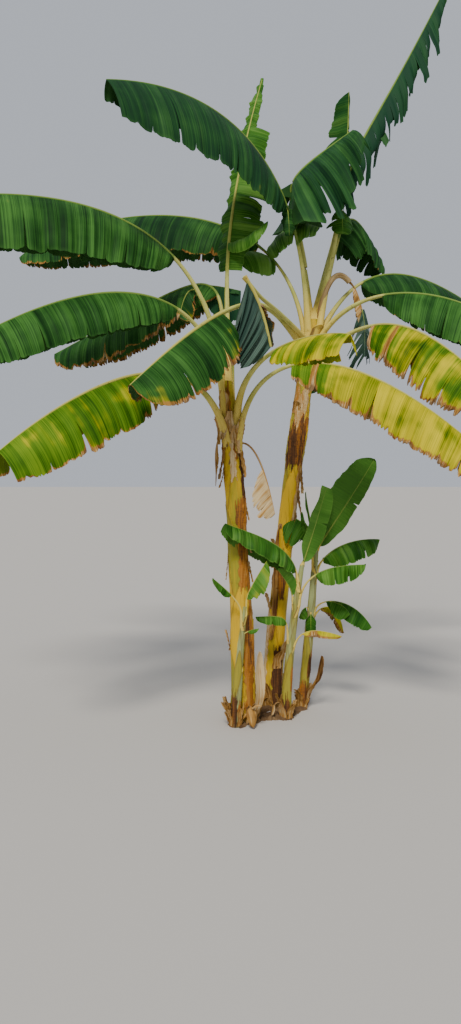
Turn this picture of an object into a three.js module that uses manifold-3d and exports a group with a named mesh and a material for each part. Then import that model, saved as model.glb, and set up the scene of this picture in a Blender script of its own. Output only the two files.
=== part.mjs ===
// A clump of banana plants grown from one crown: two tall stems that lean apart, three young suckers
// at their feet, and arching leaves torn by the wind, some of them yellow, dry or broken.
// Millimetres, +Z up, +X to the right in the usual view and +Y away from it.
// The origin is the centre of the flat cut under the main stem, at ground level.

import * as THREE from 'three';
import { mergeVertices } from 'three/addons/utils/BufferGeometryUtils.js';
import Module from 'manifold-3d';

const wasm = await Module();
wasm.setup();

// Driving sizes
const GAP = 0.3;                 // clearance between two pieces that touch
const STEM_SIDES = 14;
const THICKNESS_RATIO = 0.0105;  // leaf thickness to leaf length
const THINNEST = 4;
const SEAT_DEPTH = 0.9;          // where a stalk's centre starts, as a share of the stem's radius
const CROWN_HEIGHT = 24;
const CROWN_MARGIN = 25;         // how far the crown stands out round each foot
const RIDGE_WIDTH = 90;
const SIMPLIFY = 0.02;

const UP = new THREE.Vector3(0, 0, 1);
const radians = THREE.MathUtils.degToRad;
const mix = THREE.MathUtils.lerp;

// Finishes
const FINISHES = {
  sheath: new THREE.MeshStandardMaterial({ color: 0xb08a36, roughness: 0.75, metalness: 0 }),
  sucker: new THREE.MeshStandardMaterial({ color: 0xa8ad6c, roughness: 0.7, metalness: 0 }),
  green: new THREE.MeshStandardMaterial({ color: 0x2f5a26, roughness: 0.5, metalness: 0 }),
  young: new THREE.MeshStandardMaterial({ color: 0x4c7f2c, roughness: 0.45, metalness: 0 }),
  yellow: new THREE.MeshStandardMaterial({ color: 0xa9a32c, roughness: 0.55, metalness: 0 }),
  dry: new THREE.MeshStandardMaterial({ color: 0x9a7a52, roughness: 0.9, metalness: 0 }),
};

// Stems: foot and lean are places in the ground plan, bow is how late the stem leans,
// and girth is a list of [height, radius]
const STEMS = {
  main: {
    node: 'main_stem', finish: 'sheath', foot: [0, 0], lean: [-95, 0], height: 2000, bow: 1.6,
    girth: [
      [0, 83], [150, 75], [500, 70], [900, 62], [1200, 54], [1450, 56], [1700, 57], [1850, 45], [2000, 28],
    ],
  },
  tall: {
    node: 'tall_stem', finish: 'sheath', foot: [180, 300], lean: [260, 30], height: 2420, bow: 1.35,
    girth: [[0, 80], [150, 66], [600, 56], [1200, 53], [1700, 54], [2000, 48], [2200, 50], [2420, 30]],
  },
  front: {
    node: 'front_sucker', finish: 'sucker', foot: [-48, -108], lean: [54, -14], height: 700, bow: 1.5,
    girth: [[0, 33], [100, 29], [300, 25], [700, 12]],
  },
  middle: {
    node: 'middle_sucker', finish: 'sucker', foot: [255, 43], lean: [95, 20], height: 920, bow: 1.7,
    girth: [[0, 37], [100, 31], [300, 27], [700, 22], [920, 15]],
  },
  right: {
    node: 'right_sucker', finish: 'sucker', foot: [366, 243], lean: [88, 0], height: 1000, bow: 0.9,
    girth: [[0, 34], [100, 30], [500, 28], [1000, 16]],
  },
};

// Leaves, each named by its stem and its place.
// at: height of its foot on the stem; seat: the side of the stem it leaves from; heading: the way it
// points, in degrees from +X towards +Y; rise and fall: its slope at foot and tip; reach and climb:
// how far out and up its tip is from its foot; slack: how long it keeps each of those slopes;
// stalk: the bare part; wide: the width of its left and right half, seen from the stem;
// fold and sag: how far a half droops beside the rib and at its edge; hang: the pull straight down;
// trim: the part of the full outline that is left; tears: how many rips it has;
// rib: the stalk's radius; panels: the flat strips that make up each half.
const LEAF = {
  fold: 35, sag: 82, hang: 0.5, roll: 0, twist: [0, 0], slack: [0.4, 0.4], trim: [0, 1], tears: 4,
  finish: 'green', rib: 18, panels: 2,
};

const MAIN_LEAVES = [
  { node: 'main_leaf_upright', at: 2000, seat: 0, top: true, heading: 75, rise: 72, fall: 51,
    reach: 910, climb: 2165, slack: [0.3, 0.82], twist: [12, 0], stalk: 670, wide: [90, 150],
    fold: 15, sag: 40, hang: 0, tears: 2, finish: 'young' },
  { node: 'main_leaf_upper_left', at: 1920, seat: 190, heading: 200, rise: 88, fall: -22,
    reach: 1920, climb: 820, slack: [0.6, 0.33], stalk: 830, wide: [390, 340], tears: 5 },
  { node: 'main_leaf_mid_left', at: 1830, seat: 215, heading: 212, rise: 88, fall: -36,
    reach: 1570, climb: 170, slack: [0.42, 0.73], stalk: 660, wide: [270, 260] },
  { node: 'main_leaf_back_left', at: 1840, seat: 120, heading: 158, rise: 88, fall: -21,
    reach: 1190, climb: 390, slack: [0.75, 1.1], stalk: 670, wide: [270, 260] },
  { node: 'main_leaf_lower_left', at: 1700, seat: 225, heading: 222, rise: 69, fall: -39,
    reach: 1390, climb: -140, slack: [0.41, 0.47], stalk: 530, wide: [300, 260], trim: [0, 0.9],
    finish: 'yellow' },
  { node: 'main_leaf_centre', at: 1760, seat: -40, heading: -58, rise: 88, fall: -18, reach: 990,
    climb: 350, slack: [0.45, 0.15], stalk: 580, wide: [200, 220], trim: [0, 0.85], tears: 2,
    finish: 'yellow' },
  { node: 'main_leaf_yellow', at: 1660, seat: -35, heading: -18, rise: 84, fall: -46,
    reach: 1480, climb: -220, slack: [0.41, 0.74], stalk: 560, wide: [270, 290], finish: 'yellow' },
  { node: 'main_leaf_rear', at: 1790, seat: 80, heading: 88, rise: 82, fall: -22,
    reach: 1200, climb: 560, slack: [0.45, 0.5], stalk: 480, wide: [200, 200], sag: 78, tears: 3 },
  { node: 'main_leaf_withered', at: 1880, seat: 170, heading: 186, rise: 88, fall: -80,
    reach: 250, climb: 380, slack: [0.85, 0.6], stalk: 660, wide: [60, 60], fold: 60, rib: 10,
    tears: 2, finish: 'dry', panels: 1 },
  { node: 'main_leaf_dead', at: 1640, seat: -10, heading: -15, rise: 10, fall: -78, reach: 205,
    climb: -410, slack: [0.2, 0.5], stalk: 215, wide: [80, 80], fold: 40, rib: 10, tears: 2,
    finish: 'dry', panels: 1 },
];

const TALL_LEAVES = [
  { node: 'tall_leaf_upright', at: 2420, seat: 0, top: true, heading: 68, rise: 55, fall: 88,
    reach: 890, climb: 1790, slack: [0.4, 0.45], stalk: 1230, wide: [160, 50], fold: 10, sag: 30,
    hang: 0, tears: 2, finish: 'young' },
  { node: 'tall_leaf_tattered', at: 2380, seat: 10, heading: 26, rise: 77, fall: 61,
    reach: 1025, climb: 2380, slack: [0.6, 0.77], stalk: 820, wide: [150, 170], fold: 40, tears: 7 },
  { node: 'tall_leaf_top_left', at: 2340, seat: 215, heading: 219, rise: 88, fall: -17,
    reach: 1410, climb: 1080, slack: [0.58, 0.43], stalk: 510, wide: [430, 180], fold: 45, sag: 86,
    trim: [0, 0.92], tears: 5 },
  { node: 'tall_leaf_pleated', at: 2380, seat: 110, heading: 0, rise: 83, fall: 38, reach: 256,
    climb: 1205, slack: [0.85, 0.7], twist: [110, 20], stalk: 800, wide: [190, 440],
    trim: [0, 0.95], tears: 5 },
  { node: 'tall_leaf_back_left', at: 2300, seat: 165, heading: 164, rise: 84, fall: -39,
    reach: 2000, climb: 655, slack: [0.55, 0.17], stalk: 490, wide: [340, 320], tears: 5 },
  { node: 'tall_leaf_drooping', at: 2350, seat: 45, heading: 40, rise: 70, fall: -50,
    reach: 670, climb: 500, slack: [0.85, 0.85], stalk: 640, wide: [230, 270], fold: 45, tears: 3 },
  { node: 'tall_leaf_upper_right', at: 2300, seat: 15, heading: 30, rise: 58, fall: -28,
    reach: 1870, climb: 120, slack: [0.23, 0.8], stalk: 530, wide: [280, 290] },
  { node: 'tall_leaf_right', at: 2260, seat: -25, heading: -22, rise: 62, fall: -50,
    reach: 1340, climb: -175, slack: [0.38, 0.46], stalk: 510, wide: [270, 290] },
  { node: 'tall_leaf_gold_right', at: 2190, seat: -45, heading: -38, rise: 27, fall: -49,
    reach: 1200, climb: -380, slack: [0.33, 0.7], stalk: 430, wide: [290, 330], finish: 'yellow' },
  { node: 'tall_leaf_front_left', at: 2230, seat: 225, heading: 230, rise: 31, fall: -38,
    reach: 1460, climb: -350, slack: [0.26, 0.85], stalk: 860, wide: [310, 260], trim: [0.12, 1] },
  { node: 'tall_leaf_rear', at: 2180, seat: 90, heading: 80, rise: 42, fall: -28, reach: 1300,
    climb: -40, slack: [0.3, 0.5], stalk: 420, wide: [220, 220], sag: 62, tears: 3 },
  { node: 'tall_stalk_broken', at: 2360, seat: 15, heading: 10, rise: 88, fall: -50, reach: 210,
    climb: 300, slack: [0.2, 0.6], rib: 13, finish: 'dry' },
  { node: 'tall_stalk_folded', at: 2270, seat: 250, heading: 235, rise: 21, fall: 28, reach: 710,
    climb: 255, slack: [0.85, 0.43], rib: 15 },
];

// The blades that hang from a broken stalk: from names the stalk whose tip they hang from
const HANGING_LEAVES = [
  { node: 'tall_leaf_broken', from: 'tall_stalk_broken', heading: 0, rise: -40, fall: -85, reach: 100,
    climb: -320, slack: [0.2, 0.5], stalk: 40, wide: [60, 70], fold: 50, rib: 8, tears: 1,
    finish: 'dry', panels: 1 },
  { node: 'tall_leaf_folded', from: 'tall_stalk_folded', heading: 15, rise: -50, fall: -78,
    reach: 150, climb: -370, slack: [0.3, 0.4], stalk: 25, wide: [240, 200], fold: 75, sag: 88,
    hang: 0.3, rib: 9, tears: 2 },
];

const SUCKER_DEFAULTS = { rib: 7, hang: 0.4, tears: 1, finish: 'young', panels: 1 };

const FRONT_LEAVES = [
  { node: 'front_leaf_left', at: 620, heading: 200, rise: 88, fall: 40, reach: 170, climb: 250,
    slack: [0.2, 0.85], stalk: 170, wide: [28, 24], fold: 50, tears: 0 },
  { node: 'front_leaf_right', at: 650, heading: 10, rise: 88, fall: 57, reach: 120, climb: 310,
    slack: [0.3, 0.8], stalk: 95, wide: [25, 85], tears: 0 },
  { node: 'front_leaf_small', at: 330, heading: -20, rise: 88, fall: 12, reach: 100, climb: 250,
    slack: [0.2, 0.8], stalk: 260, wide: [22, 26], rib: 5, tears: 0 },
];

const MIDDLE_LEAVES = [
  { node: 'middle_leaf_upright', at: 920, seat: 0, top: true, heading: 20, rise: 70, fall: 72,
    reach: 160, climb: 470, stalk: 30, wide: [80, 75], fold: 12, sag: 20, hang: 0, roll: -75,
    trim: [0, 0.9], rib: 10 },
  { node: 'middle_leaf_left', at: 830, heading: 205, rise: 88, fall: 26, reach: 470, climb: 350,
    slack: [0.4, 0.2], stalk: 60, wide: [105, 115], tears: 2, rib: 9 },
  { node: 'middle_leaf_right', at: 680, heading: -10, rise: 88, fall: 2, reach: 390, climb: 250,
    slack: [0.45, 0.4], stalk: 215, wide: [90, 105], tears: 2, rib: 9 },
  { node: 'middle_leaf_inner', at: 700, seat: 170, heading: 218, rise: 85, fall: 50, reach: 120,
    climb: 200, stalk: 40, wide: [60, 60], fold: -40, sag: -70, tears: 0 },
  { node: 'middle_leaf_low', at: 480, heading: 195, rise: 88, fall: 0, reach: 200, climb: 140,
    slack: [0.55, 0.8], stalk: 90, wide: [50, 50] },
  { node: 'middle_leaf_faded', at: 440, heading: -15, rise: 73, fall: -15, reach: 280, climb: 70,
    slack: [0.45, 0.4], stalk: 90, wide: [40, 45], finish: 'yellow' },
];

const RIGHT_LEAVES = [
  { node: 'right_leaf_tall', at: 1000, seat: 0, top: true, heading: -10, rise: 57, fall: 60,
    reach: 350, climb: 560, slack: [0.35, 0.35], stalk: 30, wide: [130, 140], fold: 10, sag: 20,
    hang: 0, roll: -80, rib: 11 },
  { node: 'right_leaf_behind', at: 950, heading: 160, rise: 88, fall: 18, reach: 180, climb: 260,
    slack: [0.2, 0.8], stalk: 165, wide: [140, 120], rib: 8 },
  { node: 'right_leaf_spear', at: 970, seat: 120, heading: 150, rise: 88, fall: 85, reach: 60,
    climb: 380, slack: [0.35, 0.3], stalk: 170, wide: [14, 14], fold: 60, tears: 0 },
  { node: 'right_leaf_dark', at: 900, seat: 215, heading: 215, rise: 86, fall: 70, reach: 90,
    climb: 330, stalk: 150, wide: [40, 30], fold: 20, sag: 50, tears: 0 },
  { node: 'right_leaf_high', at: 850, heading: 25, rise: 80, fall: -5, reach: 470, climb: 190,
    slack: [0.2, 0.55], stalk: 90, wide: [85, 95], tears: 2, rib: 9 },
  { node: 'right_leaf_arching', at: 600, heading: -10, rise: 88, fall: -61, reach: 350, climb: -80,
    slack: [0.3, 0.63], stalk: 110, wide: [75, 80], fold: 45 },
  { node: 'right_leaf_curled', at: 570, heading: 20, rise: 60, fall: -80, reach: 210, climb: -110,
    slack: [0.5, 0.8], stalk: 70, wide: [60, 60], fold: 45, finish: 'yellow' },
  { node: 'right_leaf_small', at: 620, heading: 215, rise: 75, fall: -70, reach: 75, climb: -40,
    slack: [0.5, 0.5], stalk: 30, wide: [30, 35], rib: 4, tears: 0 },
  { node: 'right_leaf_hanging', at: 600, heading: 265, rise: 60, fall: -85, reach: 45, climb: -110,
    slack: [0.3, 0.5], stalk: 25, wide: [28, 28], rib: 4, tears: 0 },
];

// Dry sheaths that hang on a stem or stand at its foot
const DRY_SHEATHS = [
  { node: 'main_dry_strip', stem: 'main', at: 1720, heading: 190, rise: -60, fall: -88, reach: 40,
    climb: -330, stalk: 20, wide: [22, 22], fold: 20, sag: 40, rib: 5 },
  { node: 'tall_dry_sheath', stem: 'tall', at: 1150, heading: 215, rise: -40, fall: -86, reach: 75,
    climb: -720, slack: [0.1, 0.6], stalk: 30, wide: [45, 45], fold: 15, sag: 50, rib: 7, tears: 1 },
  { node: 'front_dry_leaf', stem: 'main', at: 40, heading: -52, rise: 40, fall: 78, reach: 75,
    climb: 400, slack: [0.4, 0.4], stalk: 60, wide: [34, 34], fold: 10, sag: 30, rib: 7 },
  { node: 'front_dry_curl', stem: 'main', at: 60, heading: -72, rise: 75, fall: -84, reach: 110,
    climb: -48, slack: [0.9, 0.9], stalk: 90, wide: [18, 18], fold: 10, sag: 40, rib: 8 },
  { node: 'middle_dry_sheath', stem: 'middle', at: 90, heading: 205, rise: 40, fall: -84, reach: 70,
    climb: -60, slack: [0.5, 0.7], stalk: 60, wide: [16, 16], fold: 10, sag: 40, rib: 6 },
  { node: 'right_dry_leaf', stem: 'right', at: 120, heading: -20, rise: 40, fall: 75, reach: 85,
    climb: 220, slack: [0.4, 0.4], stalk: 60, wide: [26, 26], fold: 10, sag: 40, rib: 6 },
];
const DRY_DEFAULTS = { hang: 0, tears: 0, finish: 'dry', panels: 1 };

// Places on a stem

function stemCentre(stem, z) {
  const bend = (z / stem.height) ** stem.bow;
  return new THREE.Vector3(stem.foot[0] + stem.lean[0] * bend, stem.foot[1] + stem.lean[1] * bend, z);
}

function stemRadius(stem, z) {
  const next = Math.max(1, stem.girth.findIndex(([height]) => height >= z));
  const [z0, r0] = stem.girth[next - 1];
  const [z1, r1] = stem.girth[next];
  return mix(r0, r1, (z - z0) / (z1 - z0));
}

function slope(heading, elevation) {
  const [a, e] = [radians(heading), radians(elevation)];
  return new THREE.Vector3(Math.cos(e) * Math.cos(a), Math.cos(e) * Math.sin(a), Math.sin(e));
}

// Solids

function solidFrom(positions, indices) {
  const geometry = new THREE.BufferGeometry();
  geometry.setAttribute('position', new THREE.Float32BufferAttribute(positions, 3));
  geometry.setIndex(indices);
  const merged = mergeVertices(geometry, 1e-3);
  return new wasm.Manifold(new wasm.Mesh({
    numProp: 3,
    vertProperties: merged.getAttribute('position').array,
    triVerts: new Uint32Array(merged.index.array),
  }));
}

function meshFrom(node, solid, finish) {
  const { vertProperties, triVerts } = solid.getMesh();
  const geometry = new THREE.BufferGeometry();
  geometry.setAttribute('position', new THREE.Float32BufferAttribute(vertProperties, 3));
  geometry.setIndex([...triVerts]);
  geometry.computeVertexNormals();
  const mesh = new THREE.Mesh(geometry, FINISHES[finish]);
  mesh.name = node;
  return mesh;
}

function largestPiece(solid) {
  const pieces = solid.decompose().sort((a, b) => b.volume() - a.volume());
  return pieces[0].simplify(SIMPLIFY);
}

// A skin through rings of points that all run the same way round, closed at both ends by capTriangles
function loft(rings, capTriangles) {
  const count = rings[0].length;
  const positions = rings.flat().flatMap((p) => [p.x, p.y, p.z]);
  const indices = [];
  for (let ring = 0; ring < rings.length - 1; ring += 1) {
    for (let k = 0; k < count; k += 1) {
      const a = ring * count + k;
      const b = ring * count + ((k + 1) % count);
      indices.push(a, b, b + count, a, b + count, a + count);
    }
  }
  const last = (rings.length - 1) * count;
  for (const [i, j, k] of capTriangles) {
    indices.push(k, j, i, last + i, last + j, last + k);
  }
  return solidFrom(positions, indices);
}

// Stems

function fanCap(count) {
  return Array.from({ length: count - 2 }, (_, k) => [0, k + 1, k + 2]);
}

function stemSolid(stem, clearance = 0) {
  const grow = clearance / Math.cos(Math.PI / STEM_SIDES);
  const rings = [];
  for (const [index, [z, radius]] of stem.girth.entries()) {
    const last = index === stem.girth.length - 1;
    const centre = stemCentre(stem, z);
    const lift = clearance * (last ? 1 : index === 0 ? -1 : 0);
    rings.push(Array.from({ length: STEM_SIDES }, (_, k) => centre.clone()
      .addScaledVector(slope((k / STEM_SIDES) * 360, 0), radius + grow)
      .addScaledVector(UP, lift)));
  }
  return loft(rings, fanCap(STEM_SIDES));
}

// The crown that the stems share, level with the ground

const CROWN_BRIDGES = [
  ['main', 'tall'], ['main', 'middle'], ['main', 'front'], ['main', 'right'],
  ['tall', 'right'], ['tall', 'middle'], ['middle', 'right'],
];

function lowCone(centre, radius) {
  const cone = new THREE.CylinderGeometry(radius * 0.8, radius, CROWN_HEIGHT, STEM_SIDES);
  cone.rotateX(Math.PI / 2);
  cone.translate(centre.x, centre.y, CROWN_HEIGHT / 2);
  cone.deleteAttribute('normal');
  cone.deleteAttribute('uv');
  return solidFrom([...cone.getAttribute('position').array], [...cone.index.array]);
}

function ridge(from, to) {
  const side = new THREE.Vector3().subVectors(from, to).cross(UP).setLength(RIDGE_WIDTH / 2);
  const top = CROWN_HEIGHT * 0.7;
  const ring = (p) => [
    p.clone().add(side),
    p.clone().addScaledVector(side, 0.5).setZ(top),
    p.clone().addScaledVector(side, -0.5).setZ(top),
    p.clone().sub(side),
  ];
  return loft([ring(from), ring(to)], fanCap(4));
}

function crownSolid() {
  const foot = (stem) => stemCentre(stem, 0);
  const stems = Object.values(STEMS);
  const cones = stems.map((stem) => lowCone(foot(stem), stemRadius(stem, 0) + CROWN_MARGIN));
  const ridges = CROWN_BRIDGES.map(([from, to]) => ridge(foot(STEMS[from]), foot(STEMS[to])));
  const mound = [...cones, ...ridges].reduce((sum, piece) => sum.add(piece));
  return largestPiece(stems.reduce((rest, stem) => rest.subtract(stemSolid(stem, GAP)), mound));
}

// Leaves

function leafFoot(leaf, stem) {
  const foot = stemCentre(stem, leaf.at);
  if (leaf.top) return foot.setZ(leaf.at - 8);
  return foot.addScaledVector(slope(leaf.seat ?? leaf.heading, 0), stemRadius(stem, leaf.at) * SEAT_DEPTH);
}

function leafCurve(leaf, foot) {
  const tip = foot.clone()
    .addScaledVector(slope(leaf.heading, 0), leaf.reach)
    .addScaledVector(UP, leaf.climb);
  const chord = foot.distanceTo(tip);
  const start = slope(leaf.heading + leaf.twist[0], leaf.rise);
  const end = slope(leaf.heading + leaf.twist[1], leaf.fall);
  return new THREE.CubicBezierCurve3(
    foot,
    foot.clone().addScaledVector(start, leaf.slack[0] * chord),
    tip.clone().addScaledVector(end, -leaf.slack[1] * chord),
    tip,
  );
}

// The directions that a leaf's section is drawn in: side is to its right and crest is its upper side
function leafFrame(leaf, curve, u) {
  const along = curve.getTangentAt(u);
  const flat = new THREE.Vector3(along.y, -along.x, 0);
  const facing = slope(leaf.heading + mix(leaf.twist[0], leaf.twist[1], u) - 90, 0);
  const side = flat.length() < 0.05 ? facing : flat.normalize();
  if (side.dot(facing) < 0) side.negate();
  side.applyAxisAngle(along, radians(leaf.roll));
  const crest = new THREE.Vector3().crossVectors(side, along).normalize();
  const pulled = crest.clone().lerp(UP, leaf.hang).normalize();
  return { at: curve.getPointAt(u), side, crest, pulled };
}

function outline(place) {
  const front = 1 - Math.abs(1 - 2 * place) ** 2.6;
  const back = 1 - (2 * place - 1) ** 2;
  return Math.sqrt(Math.max(0, place < 0.5 ? front : back));
}

function golden(index) {
  return (index * 0.618034) % 1;
}

// Rips run in from alternate edges towards the rib
function tearList(leaf) {
  return Array.from({ length: leaf.tears }, (_, index) => ({
    place: 0.1 + (0.8 * (index + 0.3 + 0.4 * golden(index + 1))) / leaf.tears,
    half: index % 2,
    depth: 0.5 + 0.35 * golden(index + 2),
  }));
}

function bladeStations(leaf, bladeLength) {
  const notch = Math.min(0.03, 22 / bladeLength);
  const stations = [{ place: 0, bare: true }, { place: leaf.trim[0] > 0 ? 0.02 : 0.06 }];
  for (const tear of tearList(leaf)) {
    const { place } = tear;
    stations.push({ place: place - notch }, { place, tear }, { place: place + notch });
  }
  if (leaf.tears < 2) stations.push({ place: 0.35 }, { place: 0.7 });
  stations.push({ place: 0.94 }, { place: 1 });
  return stations.sort((a, b) => a.place - b.place);
}

function stalkRing(leaf, frame, radius) {
  const steps = 2 * leaf.panels + 1;
  const ring = [];
  for (let k = 0; k < 2 * steps; k += 1) {
    const angle = Math.PI * (1 - (k + 0.5) / steps);
    ring.push(frame.at.clone()
      .addScaledVector(frame.side, radius * Math.cos(angle))
      .addScaledVector(frame.crest, radius * Math.sin(angle)));
  }
  return ring;
}

// One half of the section: the points on its upper and lower face, from the rib out
function halfSection(leaf, frame, sign, width, thickness) {
  const upper = [];
  const lower = [];
  const point = frame.at.clone();
  for (let k = 0; k < leaf.panels; k += 1) {
    const droop = radians(mix(leaf.fold, leaf.sag, (k + 0.5) / leaf.panels));
    point.addScaledVector(frame.side, (sign * Math.cos(droop) * width) / leaf.panels);
    point.addScaledVector(frame.pulled, (-Math.sin(droop) * width) / leaf.panels);
    const face = frame.side.clone().multiplyScalar(sign * Math.sin(droop))
      .addScaledVector(frame.pulled, Math.cos(droop)).normalize();
    upper.push(point.clone().addScaledVector(face, thickness / 2));
    lower.push(point.clone().addScaledVector(face, -thickness / 2));
  }
  return { upper, lower };
}

function bladeRing(leaf, frame, station, ribRadius, thickness) {
  const place = mix(leaf.trim[0], leaf.trim[1], station.place);
  const least = Math.max(ribRadius, thickness * 0.7);
  const width = (half) => {
    const torn = station.tear && station.tear.half === half ? 1 - station.tear.depth : 1;
    return station.bare ? least : Math.max(least, leaf.wide[half] * outline(place) * torn);
  };
  const left = halfSection(leaf, frame, -1, width(0), thickness);
  const right = halfSection(leaf, frame, 1, width(1), thickness);
  const reach = Math.max(ribRadius, thickness / 2);
  const crown = frame.at.clone().addScaledVector(frame.pulled, reach);
  const keel = frame.at.clone().addScaledVector(frame.pulled, -reach);
  return [...left.upper.reverse(), crown, ...right.upper, ...right.lower.reverse(), keel, ...left.lower];
}

function bandCap(count) {
  const half = count / 2;
  const triangles = [];
  for (let k = 0; k < half - 1; k += 1) {
    triangles.push([k, k + 1, count - 2 - k], [k, count - 2 - k, count - 1 - k]);
  }
  return triangles;
}

function leafRings(leaf, curve, clearance, stalkOnly) {
  const length = curve.getLength();
  const stalk = Math.min(leaf.stalk ?? length, length);
  const share = stalk / length;
  const thickness = Math.max(THINNEST, THICKNESS_RATIO * length) + 2 * clearance;
  const stalkSteps = Math.max(3, Math.round(stalk / 220));
  const rings = [];
  const lastStalk = share < 1 && !stalkOnly ? stalkSteps - 1 : stalkSteps;
  for (let k = 0; k <= lastStalk; k += 1) {
    const u = (k / stalkSteps) * share;
    const radius = mix(leaf.rib * 1.15, leaf.rib * 0.75, k / stalkSteps) + clearance;
    rings.push(stalkRing(leaf, leafFrame(leaf, curve, u), radius));
  }
  if (share === 1 || stalkOnly) return rings;
  for (const station of bladeStations(leaf, length - stalk)) {
    const u = share + (1 - share) * station.place;
    const ribRadius = mix(leaf.rib * 0.75, leaf.rib * 0.2, station.place);
    rings.push(bladeRing(leaf, leafFrame(leaf, curve, u), station, ribRadius, thickness));
  }
  return rings;
}

function leafSolid(leaf, curve, clearance = 0, stalkOnly = false) {
  const rings = leafRings(leaf, curve, clearance, stalkOnly);
  return loft(rings, bandCap(rings[0].length));
}

// Builds a stem's leaves in turn: each gives way to the stems, and at its foot to the stalks before it
function growLeaves(leaves, defaults, stemOf, group, tips) {
  const placed = [];
  for (const entry of leaves) {
    const leaf = { ...LEAF, ...defaults, ...entry };
    const stem = stemOf(leaf);
    const curve = leafCurve(leaf, leafFoot(leaf, stem));
    let solid = leafSolid(leaf, curve);
    for (const other of Object.values(STEMS)) {
      solid = solid.subtract(stemSolid(other, GAP));
    }
    for (const stalk of placed) {
      solid = solid.subtract(stalk);
    }
    const stalk = leafSolid(leaf, curve, GAP, true);
    placed.push(stalk);
    tips.set(leaf.node, { point: curve.getPointAt(1), stalk });
    group.add(meshFrom(leaf.node, largestPiece(solid), leaf.finish));
  }
}

function growHangingLeaves(group, tips) {
  for (const entry of HANGING_LEAVES) {
    const leaf = { ...LEAF, ...entry };
    const { point, stalk } = tips.get(leaf.from);
    const solid = leafSolid(leaf, leafCurve(leaf, point)).subtract(stalk);
    group.add(meshFrom(leaf.node, largestPiece(solid), leaf.finish));
  }
}

function growPlant() {
  const plant = new THREE.Group();
  const tips = new Map();
  for (const stem of Object.values(STEMS)) {
    plant.add(meshFrom(stem.node, stemSolid(stem), stem.finish));
  }
  plant.add(meshFrom('root_crown', crownSolid(), 'dry'));
  growLeaves(MAIN_LEAVES, {}, () => STEMS.main, plant, tips);
  growLeaves(TALL_LEAVES, {}, () => STEMS.tall, plant, tips);
  growHangingLeaves(plant, tips);
  growLeaves(FRONT_LEAVES, SUCKER_DEFAULTS, () => STEMS.front, plant, tips);
  growLeaves(MIDDLE_LEAVES, SUCKER_DEFAULTS, () => STEMS.middle, plant, tips);
  growLeaves(RIGHT_LEAVES, SUCKER_DEFAULTS, () => STEMS.right, plant, tips);
  growLeaves(DRY_SHEATHS, DRY_DEFAULTS, (leaf) => STEMS[leaf.stem], plant, tips);
  return plant;
}

export default growPlant();
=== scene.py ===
# A clump of banana plants: two leaning stems, three suckers, and long leaves torn by the wind.
# Metres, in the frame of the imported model: +Z up, +X to the right and +Y away in the usual view.

import math

import bpy
import numpy as np
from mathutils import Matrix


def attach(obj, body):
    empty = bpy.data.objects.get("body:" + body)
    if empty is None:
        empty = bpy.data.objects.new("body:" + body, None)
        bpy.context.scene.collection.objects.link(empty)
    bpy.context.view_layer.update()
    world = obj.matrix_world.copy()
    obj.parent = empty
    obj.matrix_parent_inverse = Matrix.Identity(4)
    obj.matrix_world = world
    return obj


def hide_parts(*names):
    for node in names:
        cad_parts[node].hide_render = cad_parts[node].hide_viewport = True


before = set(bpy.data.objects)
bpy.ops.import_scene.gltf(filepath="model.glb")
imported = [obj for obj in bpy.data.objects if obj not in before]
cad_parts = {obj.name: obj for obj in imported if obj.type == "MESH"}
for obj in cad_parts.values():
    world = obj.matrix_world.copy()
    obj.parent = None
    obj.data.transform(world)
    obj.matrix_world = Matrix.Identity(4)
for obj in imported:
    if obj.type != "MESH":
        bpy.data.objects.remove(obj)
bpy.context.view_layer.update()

UP = np.array([0.0, 0.0, 1.0])

# How finely the pieces are made
STATION = 0.0085            # spacing of a blade's stations along its rib
STATION_YOUNG = 0.006
RUNGS = 14                  # rows in each half of a blade
RUNGS_YOUNG = 9
YOUNG_WIDTH = 0.15          # a blade whose halves are narrower than this counts as young
BLADE_THICKNESS = 0.0024
YOUNG_THICKNESS = 0.00144
STRIP_THICKNESS = 0.0012
STALK_RING = 0.016
STALK_SIDES = 14
CLASP = 8                   # how far a stalk's foot runs down its stem, in rib radii
CLASP_SHARE = 0.24          # share of a stalk's rings that its clasping foot takes
CLASP_RINGS = 16
FLAP_STEP = 0.012
FLAP_RUNGS = 8
CROWN_VOXEL = 0.004
RIB_POINTS = 401
RIB_STEP = 8                # only every eighth is tried where the nearest one is wanted
MERGED = 2e-5               # points nearer than this are made one
LEAF_SHARP = 50             # degrees from which an edge stays sharp
STEM_SHARP = 60

# How the plant grows, in metres unless it says otherwise
ALL = math.inf              # a stalk that is bare to its end
SEATED = 0.9                # where a rib starts, as a share of its stem's radius
TOP_SUNK = 0.008
FRAY_WAVES = (0.31, 0.14, 0.06)
SWAY_WAVES = (0.37, 0.19)
CURL_WAVES = (0.09, 0.043, 0.027)
PATCH_WAVES = (0.5, 0.23, 0.11)
WRINKLE = 0.006             # depth of the wrinkles in a burnt band
LIVE_GOLD = 0.45            # from olive 0 to gold 1
SHEATH_EDGE = 0.0035
SHEATH_FADE = 0.03          # how far a sheath's edge takes to thin out
ROUND = 2.9                 # half angle from which a sheath's edges have met, in radians

# The photo's point of view, and the studio's light
EYE = (-0.077, -4.5, 1.45)
PITCH = 2.7                 # degrees that the camera looks down
SENSOR = 36
LENS = 27.03
SKY = (0.85, 0.9, 1.0, 1)
SKY_STRENGTH = 0.6
SUN_COLOUR = (1.0, 0.95, 0.86)
SUN_STRENGTH = 3.2
SUN_WIDTH = 14
SUN_TILT = (42, -8)         # degrees that the sun leans towards the camera and sideways
FLOOR = 200


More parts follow.
